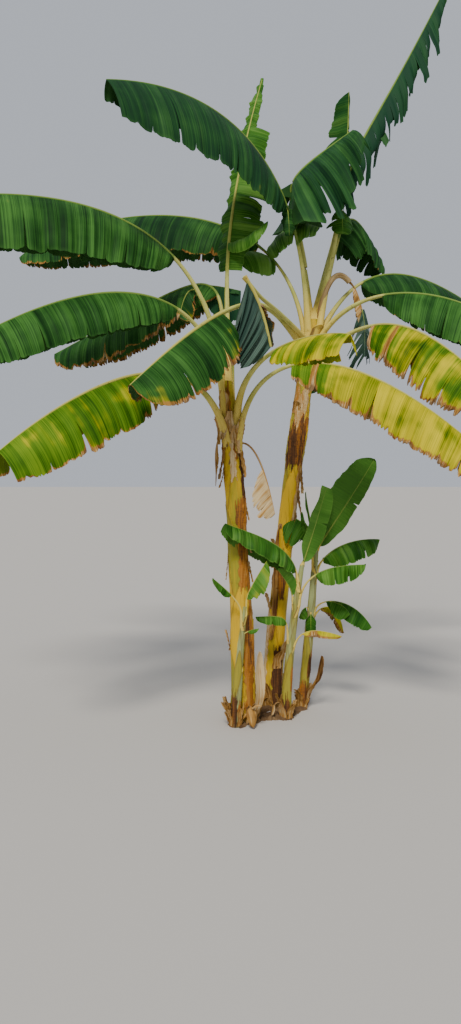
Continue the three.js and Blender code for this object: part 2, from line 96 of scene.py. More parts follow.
# Stems: foot and lean are places in the ground plan, bow is how late the stem leans, girth is a
# list of (height, radius). Sheaths are (top, side, gold) of those whose leaf is gone, gold from
# olive 0 to 1. Coats are what is left of dead ones, and one on the main stem is painted shade:
# (low, high, side, half angle, tone, lift), tone from dark brown 0 over orange 0.5 to cream 1.
# Flaps are dry strips that stand off it: (height, side, width, length, lift). Layer is a sheath's
# thickness, open_over is how far down its two edges part, and stubs is the number of short strips
# at the foot.
STEMS = {
    "main": dict(
        node="main_stem", finish="sheath", foot=(0, 0), lean=(-0.095, 0), height=2.0, bow=1.6,
        girth=[(0, 0.083), (0.15, 0.075), (0.5, 0.07), (0.9, 0.062), (1.2, 0.054),
               (1.45, 0.056), (1.7, 0.057), (1.85, 0.045), (2.0, 0.028)],
        sheaths=[(1.66, 250, 0.55), (1.5, 60, 0.5), (1.3, 185, 0.25), (1.1, 130, 0.6),
                 (0.84, 283, 0.95), (0.62, 40, 0.7), (0.5, 170, 0.5)],
        coats=[(1.7, 1.98, 242, 40, 0.42, 0.004), (1.6, 1.76, 215, 26, 0.34, 0.004),
               (1.56, 1.74, 300, 30, 0.36, 0.004), (1.42, 1.66, 268, 13, 0.86, 0.001),
               (1.2, 1.62, 330, 24, 0.2, 0.003), (0.79, 1.3, 296, 27, 0.5, 0.0015),
               (0.3, 1.3, 332, 17, 0.62, 0.002), (0.85, 1.45, 95, 40, 0.4, 0.003),
               # Painted shade: this brown coat with a little relief, low on the main stem's front
               # right, stands for the shade that falls there
               (0.05, 0.66, 304, 26, 0.42, 0.002),
               (0.15, 0.62, 125, 30, 0.6, 0.003), (0.0, 0.11, 200, 60, 0.3, 0.002)],
        flaps=[(1.74, 232, 0.06, 0.2, 0.012), (1.7, 262, 0.05, 0.12, 0.016),
               (1.66, 215, 0.06, 0.13, 0.03), (1.64, 290, 0.05, 0.1, 0.016),
               (1.93, 205, 0.05, -0.3, 0.02), (1.86, 238, 0.04, -0.2, 0.016),
               (1.8, 300, 0.04, -0.22, 0.016), (1.95, 190, 0.035, 0.1, 0.016),
               (1.68, 205, 0.07, 0.1, 0.028), (1.66, 325, 0.07, 0.12, 0.024),
               (1.6, 197, 0.05, -0.17, 0.035), (1.5, 188, 0.04, -0.12, 0.03),
               (1.64, 325, 0.04, -0.2, 0.02), (1.33, 340, 0.03, -0.14, 0.018),
               (1.1, 345, 0.025, -0.1, 0.014), (0.95, 338, 0.03, -0.12, 0.016),
               (1.0, 180, 0.03, -0.16, 0.014), (0.42, 176, 0.03, 0.12, 0.02),
               (1.2, 95, 0.05, -0.2, 0.03), (0.6, 120, 0.05, -0.2, 0.03),
               (0.02, 205, 0.05, 0.12, 0.045), (0.02, 150, 0.05, 0.1, 0.05),
               (0.02, 100, 0.06, 0.14, 0.04), (0.02, 330, 0.05, 0.1, 0.03)],
        sides=120, rings=400, layer=0.003, open_over=0.75, stubs=11),
    "tall": dict(
        node="tall_stem", finish="sheath", foot=(0.18, 0.3), lean=(0.26, 0.03), height=2.42,
        bow=1.35,
        girth=[(0, 0.08), (0.15, 0.066), (0.6, 0.056), (1.2, 0.053), (1.7, 0.054),
               (2.0, 0.048), (2.2, 0.05), (2.42, 0.03)],
        sheaths=[(2.05, 250, 0.5), (1.86, 300, 0.6), (1.72, 150, 0.5), (1.5, 262, 0.98),
                 (1.1, 60, 0.6), (0.97, 285, 0.75), (0.7, 200, 0.6), (0.4, 330, 0.4)],
        coats=[(1.74, 1.99, 262, 44, 0.84, 0.003), (1.5, 1.76, 248, 50, 0.3, 0.004),
               (1.5, 1.8, 300, 24, 0.36, 0.003), (1.08, 1.5, 322, 22, 0.78, 0.003),
               (0.7, 0.98, 255, 50, 0.32, 0.002), (0.12, 0.6, 205, 22, 0.85, 0.003),
               (0.0, 0.36, 300, 36, 0.22, 0.002), (1.2, 1.75, 100, 45, 0.4, 0.003),
               (0.3, 0.95, 80, 45, 0.5, 0.003), (1.86, 2.02, 210, 24, 0.75, 0.002)],
        flaps=[(1.84, 235, 0.05, 0.07, 0.02), (1.5, 330, 0.045, -0.16, 0.03),
               (1.36, 338, 0.04, -0.16, 0.03), (1.22, 332, 0.035, -0.12, 0.022),
               (1.0, 225, 0.04, -0.12, 0.03), (0.97, 205, 0.05, 0.09, 0.035),
               (0.62, 200, 0.05, 0.1, 0.03), (0.3, 320, 0.05, 0.16, 0.04),
               (0.25, 285, 0.05, 0.12, 0.04), (1.6, 90, 0.06, -0.22, 0.03),
               (0.8, 85, 0.06, -0.2, 0.03), (0.02, 250, 0.06, 0.15, 0.05),
               (0.02, 200, 0.06, 0.2, 0.05), (0.02, 150, 0.05, 0.13, 0.05),
               (0.02, 60, 0.06, 0.16, 0.04), (2.3, 330, 0.035, -0.14, 0.02)],
        sides=120, rings=440, layer=0.003, open_over=0.8, stubs=11),
    "front": dict(
        node="front_sucker", finish="sucker", foot=(-0.048, -0.108), lean=(0.054, -0.014),
        height=0.7, bow=1.5, girth=[(0, 0.033), (0.1, 0.029), (0.3, 0.025), (0.7, 0.012)],
        sheaths=[(0.45, 262, 0.95), (0.2, 80, 0.9)],
        coats=[(0.0, 0.2, 235, 45, 0.3, 0.001), (0.05, 0.16, 330, 40, 0.5, 0.001)],
        flaps=[(0.01, 190, 0.03, 0.13, 0.05), (0.02, 225, 0.025, 0.09, 0.03)],
        sides=64, rings=150, layer=0.0014, open_over=0.45, stubs=6),
    "middle": dict(
        node="middle_sucker", finish="sucker", foot=(0.255, 0.043), lean=(0.095, 0.02),
        height=0.92, bow=1.7,
        girth=[(0, 0.037), (0.1, 0.031), (0.3, 0.027), (0.7, 0.022), (0.92, 0.015)],
        sheaths=[(0.4, 280, 0.95), (0.26, 100, 0.9)],
        coats=[(0.0, 0.13, 250, 60, 0.35, 0.001), (0.16, 0.3, 330, 30, 0.45, 0.0008)],
        flaps=[(0.03, 215, 0.04, 0.13, 0.045), (0.03, 300, 0.03, 0.07, 0.03),
               (0.02, 90, 0.04, 0.1, 0.04)],
        sides=64, rings=180, layer=0.0016, open_over=0.45, stubs=7),
    "right": dict(
        node="right_sucker", finish="sucker", foot=(0.366, 0.243), lean=(0.088, 0.0),
        height=1.0, bow=0.9, girth=[(0, 0.034), (0.1, 0.03), (0.5, 0.028), (1.0, 0.016)],
        sheaths=[(0.5, 230, 0.9), (0.3, 20, 0.9)],
        coats=[(0.0, 0.17, 260, 70, 0.4, 0.001), (0.2, 0.36, 320, 30, 0.3, 0.0008)],
        flaps=[(0.03, 330, 0.04, 0.16, 0.05), (0.03, 230, 0.035, 0.1, 0.04),
               (0.02, 60, 0.04, 0.12, 0.05)],
        sides=64, rings=190, layer=0.0016, open_over=0.45, stubs=7),
}

# Leaves. Each row gives, by its place: the name; the height of its foot on its stem, or the share
# of the way along the rib that it hangs on; its heading, in degrees from +X towards +Y; its slope
# at foot and tip; how far out and up its tip is; how long it keeps each of those slopes; its bare
# stalk's length; and the width of its left and right half, seen from the stem. By name it gives
# what sets it apart from the usual leaf:
# finish, skin and bar: its finish, and the blade's and the stalk's where they differ;
# stem or on: what it grows from; seat: the side of the stem it leaves from; top: at the stem's tip;
# node: whether the imported model has it;
# rib: the stalk's radius; stout, taper and blunt: that radius at foot, blade and tip, as shares;
# twist: turns its heading at foot and tip; roll: turns it about its rib;
# fold and sag: how far a half droops beside the rib and at its edge; hang: the pull straight down;
# slant: how far its edge runs on towards the tip; trim: the part of the full outline that is left,
# where less than 0 narrows its base; spread: widens each half; narrow: (half, from, to, factor);
# tears: the number of deep ones laid by rule; splits: placed ones (place, half, depth, gap);
# rips: small ones on each edge; gape: how far a tear opens; stray: how far torn strips hang apart,
# in degrees; uneven: how much their reach differs; frayed and ragged: waves and nicks of the edge;
# pleat and pleat_width: the folds between cross veins; sway: slow waves of the edge; curl: quick
# ones; lengthwise: its veins run along it;
# scorch: how dry its edge is; burnt: dry bands (place, half width in metres); ripe: how yellow it
# is from base to tip; tone: bluish to yellowish green; tone_step: what its right half adds to that;
# pale_rib: how pale its rib is.
# A high tone on some lobes is painted light, and tone_step on main_leaf_upright is painted shade on
# its right half.
LEAF = dict(
    on=None, stem=None, node=True, finish="green", skin=None, bar=None, top=False, rib=0.018,
    stout=1.0, taper=0.62, blunt=0.12, twist=(0, 0), roll=0, fold=35, sag=82, hang=0.5, slant=0.0,
    trim=(0, 1), spread=(1, 1), narrow=(), tears=0, splits=(), rips=9, gape=0.006, stray=5,
    uneven=0.05, frayed=0.02, ragged=0.004, pleat=0.0065, pleat_width=0.07, sway=0.012, curl=0.0,
    lengthwise=False, scorch=0.15, ripe=(0, 0, 0, 0), burnt=(), tone=0.0, tone_step=0.0,
    pale_rib=0.0)


def row(name, at, heading, slopes, tip, slack, stalk, wide, **more):
    """One leaf's own values. Without a seat it leaves the stem on the side that it points to."""
    given = dict(name=name, at=at, heading=heading, seat=heading, slopes=slopes, tip=tip,
                 slack=slack, stalk=stalk, wide=wide)
    return {**given, **more}


def group(*leaves, **shared):
    """Leaves with what they share. What a leaf's own row gives comes before that."""
    return [{**LEAF, **shared, **leaf} for leaf in leaves]


def even_splits(spacing, count, depth, gap):
    """Splits at every spacing along the blade, in both halves."""
    return [(spacing * step, half, depth, gap) for step in range(1, count + 1) for half in (0, 1)]


# The main stem's leaves
LEAVES = group(
    # Its left half has a higher tone than its right: painted light on the left half, and painted
    # shade on the right half, which hangs away from the light
    row("main_leaf_upright", 2, 75, (72, 51), (0.91, 2.165), (0.3, 0.82), 0.67, (0.09, 0.15),
        finish="young", seat=0, top=True, twist=(12, 0), fold=15, sag=40, hang=0, trim=(0.1, 1),
        spread=(0.75, 1),
        narrow=((0, 0, 0.1, 1.8), (0, 0.1, 0.22, 1.3), (1, 0.1, 0.38, 1.4), (1, 0.66, 1, 0.35)),
        tears=2,
        splits=((0.66, 1, 0.8, 0.01), (0.1, 1, 0.8, 0.01), (0.2, 1, 0.7, 0.008),
                (0.29, 1, 0.75, 0.008)),
        rips=4, stray=14, uneven=0.12, pleat=0.01, scorch=0.05, tone=0.6, tone_step=-0.6,
        pale_rib=0.4),
    row("main_leaf_upper_left", 1.92, 200, (88, -22), (1.92, 0.82), (0.6, 0.33), 0.83, (0.39, 0.34),
        seat=190, spread=(1.06, 0.94), tears=5, rips=10, stray=2, ragged=0.003, pleat=0.007,
        tone=0.25),
    row("main_leaf_mid_left", 1.83, 212, (88, -36), (1.57, 0.17), (0.42, 0.73), 0.66, (0.27, 0.26),
        seat=215, rips=12, stray=4, pleat=0.007, tone=0.5),
    row("main_leaf_back_left", 1.84, 158, (88, -21), (1.19, 0.39), (0.75, 1.1), 0.67, (0.27, 0.26),
        seat=120, spread=(1.2, 1), stray=9, ragged=0.014, curl=0.012, scorch=0.85),
    row("main_leaf_lower_left", 1.7, 222, (69, -39), (1.39, -0.14), (0.41, 0.47), 0.53, (0.3, 0.26),
        finish="yellow", seat=225, taper=0.8, trim=(0, 0.9), gape=0.012, stray=6, ragged=0.008,
        pleat=0.005, curl=0.006, scorch=0.7, ripe=(0.7, 0.62, 0.5, 0.2), tone=0.3, pale_rib=0.6),
    row("main_leaf_centre", 1.76, -58, (88, -18), (0.99, 0.35), (0.45, 0.15), 0.58, (0.2, 0.22),
        finish="yellow", seat=-40, trim=(0.04, 0.85), spread=0.78,
        narrow=((0, 0.72, 1, 0.4),), tears=2, rips=5, ragged=0.005, pleat=0.009, curl=0.004,
        scorch=0.35, ripe=(0.2, 0.5, 0.6, 0.65), tone=1.8),
    row("main_leaf_yellow", 1.66, -18, (84, -46), (1.48, -0.22), (0.41, 0.74), 0.56, (0.27, 0.29),
        finish="yellow", seat=-35, trim=(0.02, 1), rips=12, gape=0.009, ragged=0.011, pleat=0.006,
        curl=0.012, scorch=0.95, ripe=(0, 0.3, 1.05, 0.75), burnt=((0.105, 0.026),)),
    row("main_leaf_rear", 1.79, 88, (82, -22), (1.2, 0.56), (0.45, 0.5), 0.48, (0.2, 0.2),
        seat=80, sag=78, tears=3),
    row("main_leaf_withered", 1.88, 186, (88, -80), (0.25, 0.48), (1, 0.7), 0.66, (0.06, 0.06),
        finish="dry", skin="green", bar="stalk", seat=170, rib=0.01, stout=0.8, fold=60,
        spread=1.8, tears=2, rips=2, scorch=0.7, ripe=(0.2, 0.2, 0.3, 0.4), tone=-0.2),
    row("main_leaf_dead", 1.64, -15, (10, -78), (0.205, -0.41), (0.2, 0.5), 0.215, (0.08, 0.08),
        finish="dry", seat=-10, rib=0.01, stout=0.6, fold=40, spread=1.9, tears=2,
        uneven=0.2, pleat=0.004, tone=1),
    stem="main", tears=4)

# The tall stem's leaves and broken stalks
LEAVES += group(
    row("tall_leaf_upright", 2.42, 68, (55, 88), (0.89, 1.79), (0.4, 0.45), 1.23, (0.16, 0.05),
        finish="young", seat=0, top=True, fold=10, sag=30, hang=0, spread=(1.3, 0.2),
        narrow=((0, 0.62, 1, 0.85),), tears=2, splits=((0.62, 0, 0.5, 0.03),), rips=3, pleat=0.006,
        scorch=0.05, tone=-0.8, pale_rib=0.3),
    row("tall_leaf_tattered", 2.38, 26, (77, 61), (1.025, 2.38), (0.6, 0.77), 0.82, (0.15, 0.17),
        seat=10, stout=1.5, fold=62, sag=94, hang=0.85, trim=(0.05, 1), spread=(1.4, 1.75),
        tears=7, splits=even_splits(0.043, 22, 0.85, 0.008), rips=20, gape=0.012, stray=30,
        uneven=0.45, frayed=0.08, pleat=0.01, tone=-1),
    row("tall_leaf_top_left", 2.34, 219, (88, -17), (1.41, 1.08), (0.58, 0.43), 0.51, (0.43, 0.18),
        seat=215, fold=45, sag=86, trim=(-0.17, 0.92), tears=5, rips=12, uneven=0.03, pleat=0.006,
        tone=-0.5),
    row("tall_leaf_pleated", 2.38, 0, (83, 38), (0.256, 1.205), (0.85, 0.7), 0.8, (0.19, 0.44),
        seat=110, twist=(110, 20), trim=(0.1, 0.95), spread=(1, 1.16),
        narrow=((1, 0.55, 1, 0.78), (1, 0.78, 1, 0.8)), tears=5,
        splits=((0.12, 1, 0.6, 0.01), (0.33, 1, 0.7, 0.008)), stray=12, uneven=0.25, pleat=0.02,
        pleat_width=0.06, scorch=0.05, tone=-0.5),
    row("tall_leaf_back_left", 2.3, 164, (84, -39), (2, 0.655), (0.55, 0.17), 0.49, (0.34, 0.32),
        seat=165, trim=(-0.11, 1), tears=5, rips=10, ragged=0.008, pleat=0.006, scorch=0.55,
        tone=-0.2),
    row("tall_leaf_drooping", 2.35, 40, (70, -50), (0.67, 0.5), (0.85, 0.85), 0.64, (0.23, 0.27),
        seat=45, fold=45, trim=(0.1, 1), tears=3, rips=14, gape=0.008, stray=12, pleat=0.01,
        pleat_width=0.05, scorch=0.2, tone=-0.2),
    row("tall_leaf_upper_right", 2.3, 30, (58, -28), (1.87, 0.12), (0.23, 0.8), 0.53, (0.28, 0.29),
        seat=15, pleat=0.006, tone=-0.2),
    row("tall_leaf_right", 2.26, -22, (62, -50), (1.34, -0.175), (0.38, 0.46), 0.51, (0.27, 0.29),
        seat=-25, scorch=0.25, tone=1),
    row("tall_leaf_gold_right", 2.19, -38, (27, -49), (1.2, -0.38), (0.33, 0.7), 0.43, (0.29, 0.33),
        finish="yellow", seat=-45, trim=(0.05, 1), gape=0.014, stray=9, ragged=0.015, pleat=0.007,
        curl=0.014, scorch=1.1, ripe=(0.2, 0.42, 0.62, 0.5), burnt=((0, 0.03), (0.17, 0.02))),
    row("tall_leaf_front_left", 2.23, 230, (31, -38), (1.46, -0.35), (0.26, 0.85), 0.86, (0.31, 0.26),
        seat=225, taper=0.8, trim=(0.12, 1), rips=5, stray=3, ragged=0.012, curl=0.008, scorch=0.8,
        ripe=(0.45, 0.38, 0.25, 0.15), tone=0.6, pale_rib=0.6),
    row("tall_leaf_rear", 2.18, 80, (42, -28), (1.3, -0.04), (0.3, 0.5), 0.42, (0.22, 0.22),
        seat=90, sag=62, tears=3),
    row("tall_stalk_broken", 2.36, 10, (88, -50), (0.21, 0.3), (0.2, 0.6), ALL, (0, 0),
        finish="dry", seat=15, rib=0.013, stout=1.5, taper=1.5),
    row("tall_stalk_folded", 2.27, 235, (21, 28), (0.71, 0.255), (0.85, 0.43), ALL, (0, 0),
        seat=250, rib=0.015),
    row("tall_leaf_broken", 1, 0, (-40, -85), (0.1, -0.32), (0.2, 0.5), 0.04, (0.06, 0.07),
        finish="dry", on="tall_stalk_broken", rib=0.008, fold=50, tears=1),
    row("tall_leaf_folded", 1, 15, (-50, -78), (0.15, -0.37), (0.3, 0.4), 0.025, (0.24, 0.2),
        skin="withered", on="tall_stalk_folded", rib=0.009, stout=1.6, taper=1.5, blunt=0.9,
        fold=60, sag=88, hang=0, slant=0.8, trim=(0.12, 1), spread=(1, 1.3), tears=2, rips=5,
        pleat=0.018, pleat_width=0.04, scorch=0.2, tone=-0.4, pale_rib=0.6),
    stem="tall", tears=4)

# The suckers' leaves
LEAVES += group(
    row("front_leaf_left", 0.62, 200, (88, 40), (0.17, 0.25), (0.2, 0.85), 0.17, (0.028, 0.024),
        fold=50, spread=1.5),
    row("front_leaf_right", 0.65, 10, (88, 57), (0.12, 0.31), (0.3, 0.8), 0.095, (0.025, 0.085),
        spread=(0.7, 1.2), narrow=((1, 0, 0.18, 0.55), (1, 0.18, 0.4, 0.8)), scorch=0.02,
        ripe=(0.5, 0.5, 0.5, 0.5), tone=2),
    row("front_leaf_small", 0.33, -20, (88, 12), (0.1, 0.25), (0.2, 0.8), 0.26, (0.022, 0.026),
        rib=0.005, scorch=0.02),
    stem="front", finish="young", rib=0.007, hang=0.4, rips=0)
LEAVES += group(
    row("middle_leaf_upright", 0.92, 20, (70, 72), (0.16, 0.47), (0.4, 0.4), 0.03, (0.08, 0.075),
        seat=0, top=True, rib=0.01, roll=-75, fold=12, sag=20, hang=0, trim=(0, 0.93), frayed=0.01,
        ragged=0.001, pleat=0.001, scorch=0, tone=1, tone_step=1.8),
    row("middle_leaf_left", 0.83, 205, (88, 26), (0.47, 0.35), (0.4, 0.2), 0.06, (0.105, 0.115),
        rib=0.009, trim=(0, 0.95), spread=(1.25, 1.3), tears=2, rips=2, pleat=0.014, scorch=0.05,
        tone=-0.2),
    row("middle_leaf_right", 0.68, -10, (88, 2), (0.39, 0.25), (0.45, 0.4), 0.215, (0.09, 0.105),
        rib=0.009, spread=1.1, tears=2, rips=2, pleat=0.02, scorch=0.05, tone=0.4),
    row("middle_leaf_inner", 0.7, 218, (85, 50), (0.12, 0.2), (0.4, 0.4), 0.04, (0.06, 0.06),
        seat=170, fold=-40, sag=-70, tears=0, pleat=0.001, scorch=0, tone=0.3),
    row("middle_leaf_low", 0.48, 195, (88, 0), (0.2, 0.14), (0.55, 0.8), 0.09, (0.05, 0.05),
        spread=1.2, rips=1, pleat=0.005, scorch=0.05),
    row("middle_leaf_faded", 0.44, -15, (73, -15), (0.28, 0.07), (0.45, 0.4), 0.09, (0.04, 0.045),
        finish="yellow", rips=1, pleat=0.003, scorch=0.6, ripe=(1.1, 1.1, 0.9, 1.1),
        burnt=((0.3, 0.03),)),
    stem="middle", finish="young", rib=0.007, hang=0.4, tears=1, rips=0)
LEAVES += group(
    row("right_leaf_tall", 1, -10, (57, 60), (0.35, 0.56), (0.35, 0.35), 0.03, (0.13, 0.14),
        seat=0, top=True, rib=0.011, roll=-80, fold=10, sag=20, hang=0, spread=(0.55, 1.05),
        frayed=0.05, ragged=0.001, pleat=0.0015, sway=0.03, scorch=0, tone=0.2, tone_step=-0.6),
    row("right_leaf_behind", 0.95, 160, (88, 18), (0.18, 0.26), (0.2, 0.8), 0.165, (0.14, 0.12),
        rib=0.008, spread=1.35, rips=2, pleat=0.01, scorch=0, tone=-0.3),
    row("right_leaf_spear", 0.97, 150, (88, 85), (0.06, 0.38), (0.35, 0.3), 0.17, (0.014, 0.014),
        seat=120, fold=60, tears=0, pleat=0, scorch=0),
    row("right_leaf_dark", 0.9, 215, (86, 70), (0.09, 0.33), (0.4, 0.4), 0.15, (0.04, 0.03),
        fold=20, sag=50, tears=0, scorch=0, tone=-0.3),
    row("right_leaf_high", 0.85, 25, (80, -5), (0.47, 0.19), (0.2, 0.55), 0.09, (0.085, 0.095),
        rib=0.009, spread=1.5, tears=2, rips=2, pleat=0.018, scorch=0.05, tone=0.2),
    row("right_leaf_arching", 0.6, -10, (88, -61), (0.35, -0.08), (0.3, 0.63), 0.11, (0.075, 0.08),
        fold=45, spread=1.25, rips=2, pleat=0.008, scorch=0.1, tone=-0.2),
    row("right_leaf_curled", 0.57, 20, (60, -80), (0.21, -0.11), (0.5, 0.8), 0.07, (0.06, 0.06),
        finish="yellow", fold=45, rips=2, pleat=0.004, scorch=0.8, ripe=(0.7, 0.7, 0.7, 0.8)),
    row("right_leaf_small", 0.62, 215, (75, -70), (0.075, -0.04), (0.5, 0.5), 0.03, (0.03, 0.035),
        rib=0.004, spread=1.8, tears=0),
    row("right_leaf_hanging", 0.6, 265, (60, -85), (0.045, -0.11), (0.3, 0.5), 0.025, (0.028, 0.028),
        rib=0.004, spread=1.8, tears=0),
    stem="right", finish="young", rib=0.007, hang=0.4, tears=1, rips=0)

# Dry sheaths and leaves near the foot
LEAVES += group(
    row("main_dry_strip", 1.72, 190, (-60, -88), (0.04, -0.33), (0.4, 0.4), 0.02, (0.022, 0.022),
        stem="main", rib=0.005, fold=20, sag=40, rips=9, pleat=0.001),
    row("tall_dry_sheath", 1.15, 215, (-40, -86), (0.075, -0.72), (0.1, 0.6), 0.03, (0.045, 0.045),
        stem="tall", rib=0.007, fold=15, sag=50, spread=0.75, tears=1, rips=3, uneven=0.3,
        tone=-1),
    row("front_dry_leaf", 0.04, -52, (40, 78), (0.075, 0.4), (0.4, 0.4), 0.06, (0.034, 0.034),
        stem="main", rib=0.007, sag=30, spread=1.15, sway=0.004, tone=1.6),
    row("front_dry_curl", 0.06, -72, (75, -84), (0.11, -0.048), (0.9, 0.9), 0.09, (0.018, 0.018),
        stem="main", rib=0.008, sag=40, spread=2, rips=1, tone=-1),
    row("middle_dry_sheath", 0.09, 205, (40, -84), (0.07, -0.06), (0.5, 0.7), 0.06, (0.016, 0.016),
        stem="middle", rib=0.006, sag=40),
    row("right_dry_leaf", 0.12, -20, (40, 75), (0.085, 0.22), (0.4, 0.4), 0.06, (0.026, 0.026),
        stem="right", rib=0.006, sag=40, spread=2, pleat=0.001, tone=-0.6),
    finish="dry", hang=0, fold=10, lengthwise=True, pleat=0, rips=0)

# Small leaves and torn lobes that hang from other leaves' ribs
LEAVES += group(
    row("folded_leaf_back", 0.4, 55, (-45, -80), (0.12, -0.22), (0.4, 0.4), 0.004, (0.08, 0.08),
        finish="green", skin="withered", on="tall_leaf_folded", rib=0.005, fold=10, sag=40, hang=0,
        rips=4, gape=0.01, stray=14, uneven=0.4, pleat=0.01, scorch=1, ripe=(0.2, 0.2, 0.3, 0.4),
        burnt=((0.12, 0.08),), tone=-0.4),
    row("tattered_collar", 0.29, -80, (-60, -85), (0.05, -0.17), (0.4, 0.4), 0.004, (0.1, 0.1),
        on="tall_leaf_tattered", fold=5, sag=60, hang=0.2, trim=(0.05, 1),
        splits=((0.5, 0, 0.8, 0.01), (0.4, 1, 0.8, 0.01)), rips=3, stray=15, uneven=0.35, tone=0.9),
    row("broken_leaf_end", 0.55, -60, (-70, -88), (0.03, -0.3), (0.4, 0.4), 0.004, (0.12, 0.14),
        finish="green", skin="withered", on="tall_leaf_broken", fold=10, sag=60, slant=1,
        splits=even_splits(0.22, 4, 0.9, 0.02), rips=6, gape=0.012, stray=20, uneven=0.5, tone=0.3),
    row("front_dry_hook", 0.5, -20, (60, -80), (0.06, 0.02), (0.4, 0.4), 0.004, (0.02, 0.02),
        finish="dry", on="front_dry_curl", fold=10, sag=30, rips=0, lengthwise=True),
    row("top_left_lobe", 0.345, -80, (-70, -88), (0.04, -0.17), (0.4, 0.4), 0.004, (0.05, 0.07),
        finish="green", on="tall_leaf_top_left", rib=0.005, fold=8, sag=35, hang=0.2,
        trim=(0.05, 1), rips=6, gape=0.012, stray=16, uneven=0.5, pleat=0.01, tone=-0.2),
    row("main_back_left_base", 0.4, 14, (0, -8), (0.2, -0.02), (0.4, 0.4), 0.004, (0.03, 0.21),
        finish="green", on="main_leaf_back_left", rib=0.006, fold=84, sag=92, trim=(0.1, 0.8),
        rips=2, pleat=0.008, tone=-1),
    # Its high tone is painted light: the fan is made paler green where light falls on it
    row("back_left_fan", 0.25, -14, (60, -25), (0.33, 0.13), (0.5, 0.4), 0.004, (0.03, 0.23),
        on="tall_leaf_back_left", fold=15, sag=80, trim=(0.06, 0.96),
        splits=((0.66, 1, 0.6, 0.02),), rips=3, pleat=0.016, tone=1.2),
    # Its high tone is painted light: the rolled lobe is made paler green where light falls on it
    row("rolled_lobe", 0.345, -20, (5, 35), (0.24, 0.1), (0.4, 0.4), 0.004, (0.02, 0.13),
        on="main_leaf_upright", fold=5, sag=110, trim=(0.05, 1), rips=1, pleat=0.005, tone=1.6),
    # Its high tone is painted light: the lobe is made paler green where light falls on it
    row("back_left_lobe", 0.22, 205, (30, -60), (0.26, -0.03), (0.4, 0.4), 0.004, (0.21, 0.02),
        on="tall_leaf_back_left", rib=0.005, fold=32, sag=88, trim=(0.08, 1), rips=2, pleat=0.008,
        tone=1.4),
    row("curled_leaf_twin", 0.3, -30, (-10, -60), (0.13, -0.07), (0.4, 0.4), 0.004, (0.08, 0.09),
        on="right_leaf_arching", fold=40, sag=80, rips=1, pleat=0.008),
    node=False, finish="young", rib=0.004)


# The rule that every leaf follows

def slope(heading, elevation):
    a, e = math.radians(heading), math.radians(elevation)
    return np.array([math.cos(e) * math.cos(a), math.cos(e) * math.sin(a), math.sin(e)])


def level(angles):
    """The level directions at these angles, in radians."""
    return np.stack([np.cos(angles), np.sin(angles), np.zeros(len(angles))], axis=-1)


def unit(vectors):
    return vectors / np.linalg.norm(vectors, axis=-1, keepdims=True)


def smooth(x):
    x = np.clip(x, 0, 1)
    return x * x * (3 - 2 * x)


def golden(index):
    return (index * 0.618034) % 1


def turned_from(angle, side):
    """How far each angle is from a side that is given in degrees."""
    return np.abs((angle - math.radians(side) + np.pi) % (2 * np.pi) - np.pi)


def stem_centre(stem, z):
    bend = (np.clip(z, 0, None) / stem["height"]) ** stem["bow"]
    x = stem["foot"][0] + stem["lean"][0] * bend
    y = stem["foot"][1] + stem["lean"][1] * bend
    return np.stack([x, y, np.broadcast_to(z, np.shape(x))], axis=-1)


def stem_radius(stem, z):
    heights, radii = zip(*stem["girth"])
    return np.interp(z, heights, radii)


class Rib:
    """The line that a leaf's stalk and rib follow, measured from its foot."""

    def __init__(self, leaf, foot):
        (rise, fall), (reach, climb) = leaf["slopes"], leaf["tip"]
        tip = foot + slope(leaf["heading"], 0) * reach + UP * climb
        chord = np.linalg.norm(tip - foot)
        start = slope(leaf["heading"] + leaf["twist"][0], rise)
        end = slope(leaf["heading"] + leaf["twist"][1], fall)
        p1 = foot + start * leaf["slack"][0] * chord
        p2 = tip - end * leaf["slack"][1] * chord
        t = np.linspace(0, 1, RIB_POINTS)[:, None]
        self.points = ((1 - t) ** 3 * foot + 3 * t * (1 - t) ** 2 * p1
                       + 3 * t ** 2 * (1 - t) * p2 + t ** 3 * tip)
        self.along = unit((1 - t) ** 2 * (p1 - foot) + 2 * t * (1 - t) * (p2 - p1)
                          + t ** 2 * (tip - p2))
        steps = np.linalg.norm(np.diff(self.points, axis=0), axis=1)
        self.run = np.concatenate([[0], np.cumsum(steps)])
        self.length = self.run[-1]
        self.stalk = min(leaf["stalk"], self.length)
        self.share = self.stalk / self.length
        self.leaf = leaf

    def at(self, values, s):
        """What a list of vectors along the rib is at s metres."""
        return np.stack([np.interp(s, self.run, values[:, k]) for k in range(3)], axis=-1)

    def frames(self, u):
        """For each u: the place on the rib, the way it runs, its right side, its upper side, and
        the upward direction that its halves droop from."""
        leaf = self.leaf
        s = u * self.length
        along = unit(self.at(self.along, s))
        turn = leaf["heading"] + leaf["twist"][0] + (leaf["twist"][1] - leaf["twist"][0]) * u - 90
        facing = level(np.radians(turn))
        flat = np.stack([along[..., 1], -along[..., 0], 0 * s], axis=-1)
        size = np.linalg.norm(flat, axis=-1, keepdims=True)
        side = np.where(size < 0.05, facing, flat / np.maximum(size, 1e-9))
        side = np.where(np.sum(side * facing, -1, keepdims=True) < 0, -side, side)
        roll = math.radians(leaf["roll"])
        side = (side * math.cos(roll) + np.cross(along, side) * math.sin(roll)
                + along * np.sum(along * side, -1, keepdims=True) * (1 - math.cos(roll)))
        crest = unit(np.cross(side, along))
        pulled = unit(crest * (1 - leaf["hang"]) + UP * leaf["hang"])
        return self.at(self.points, s), along, side, crest, pulled


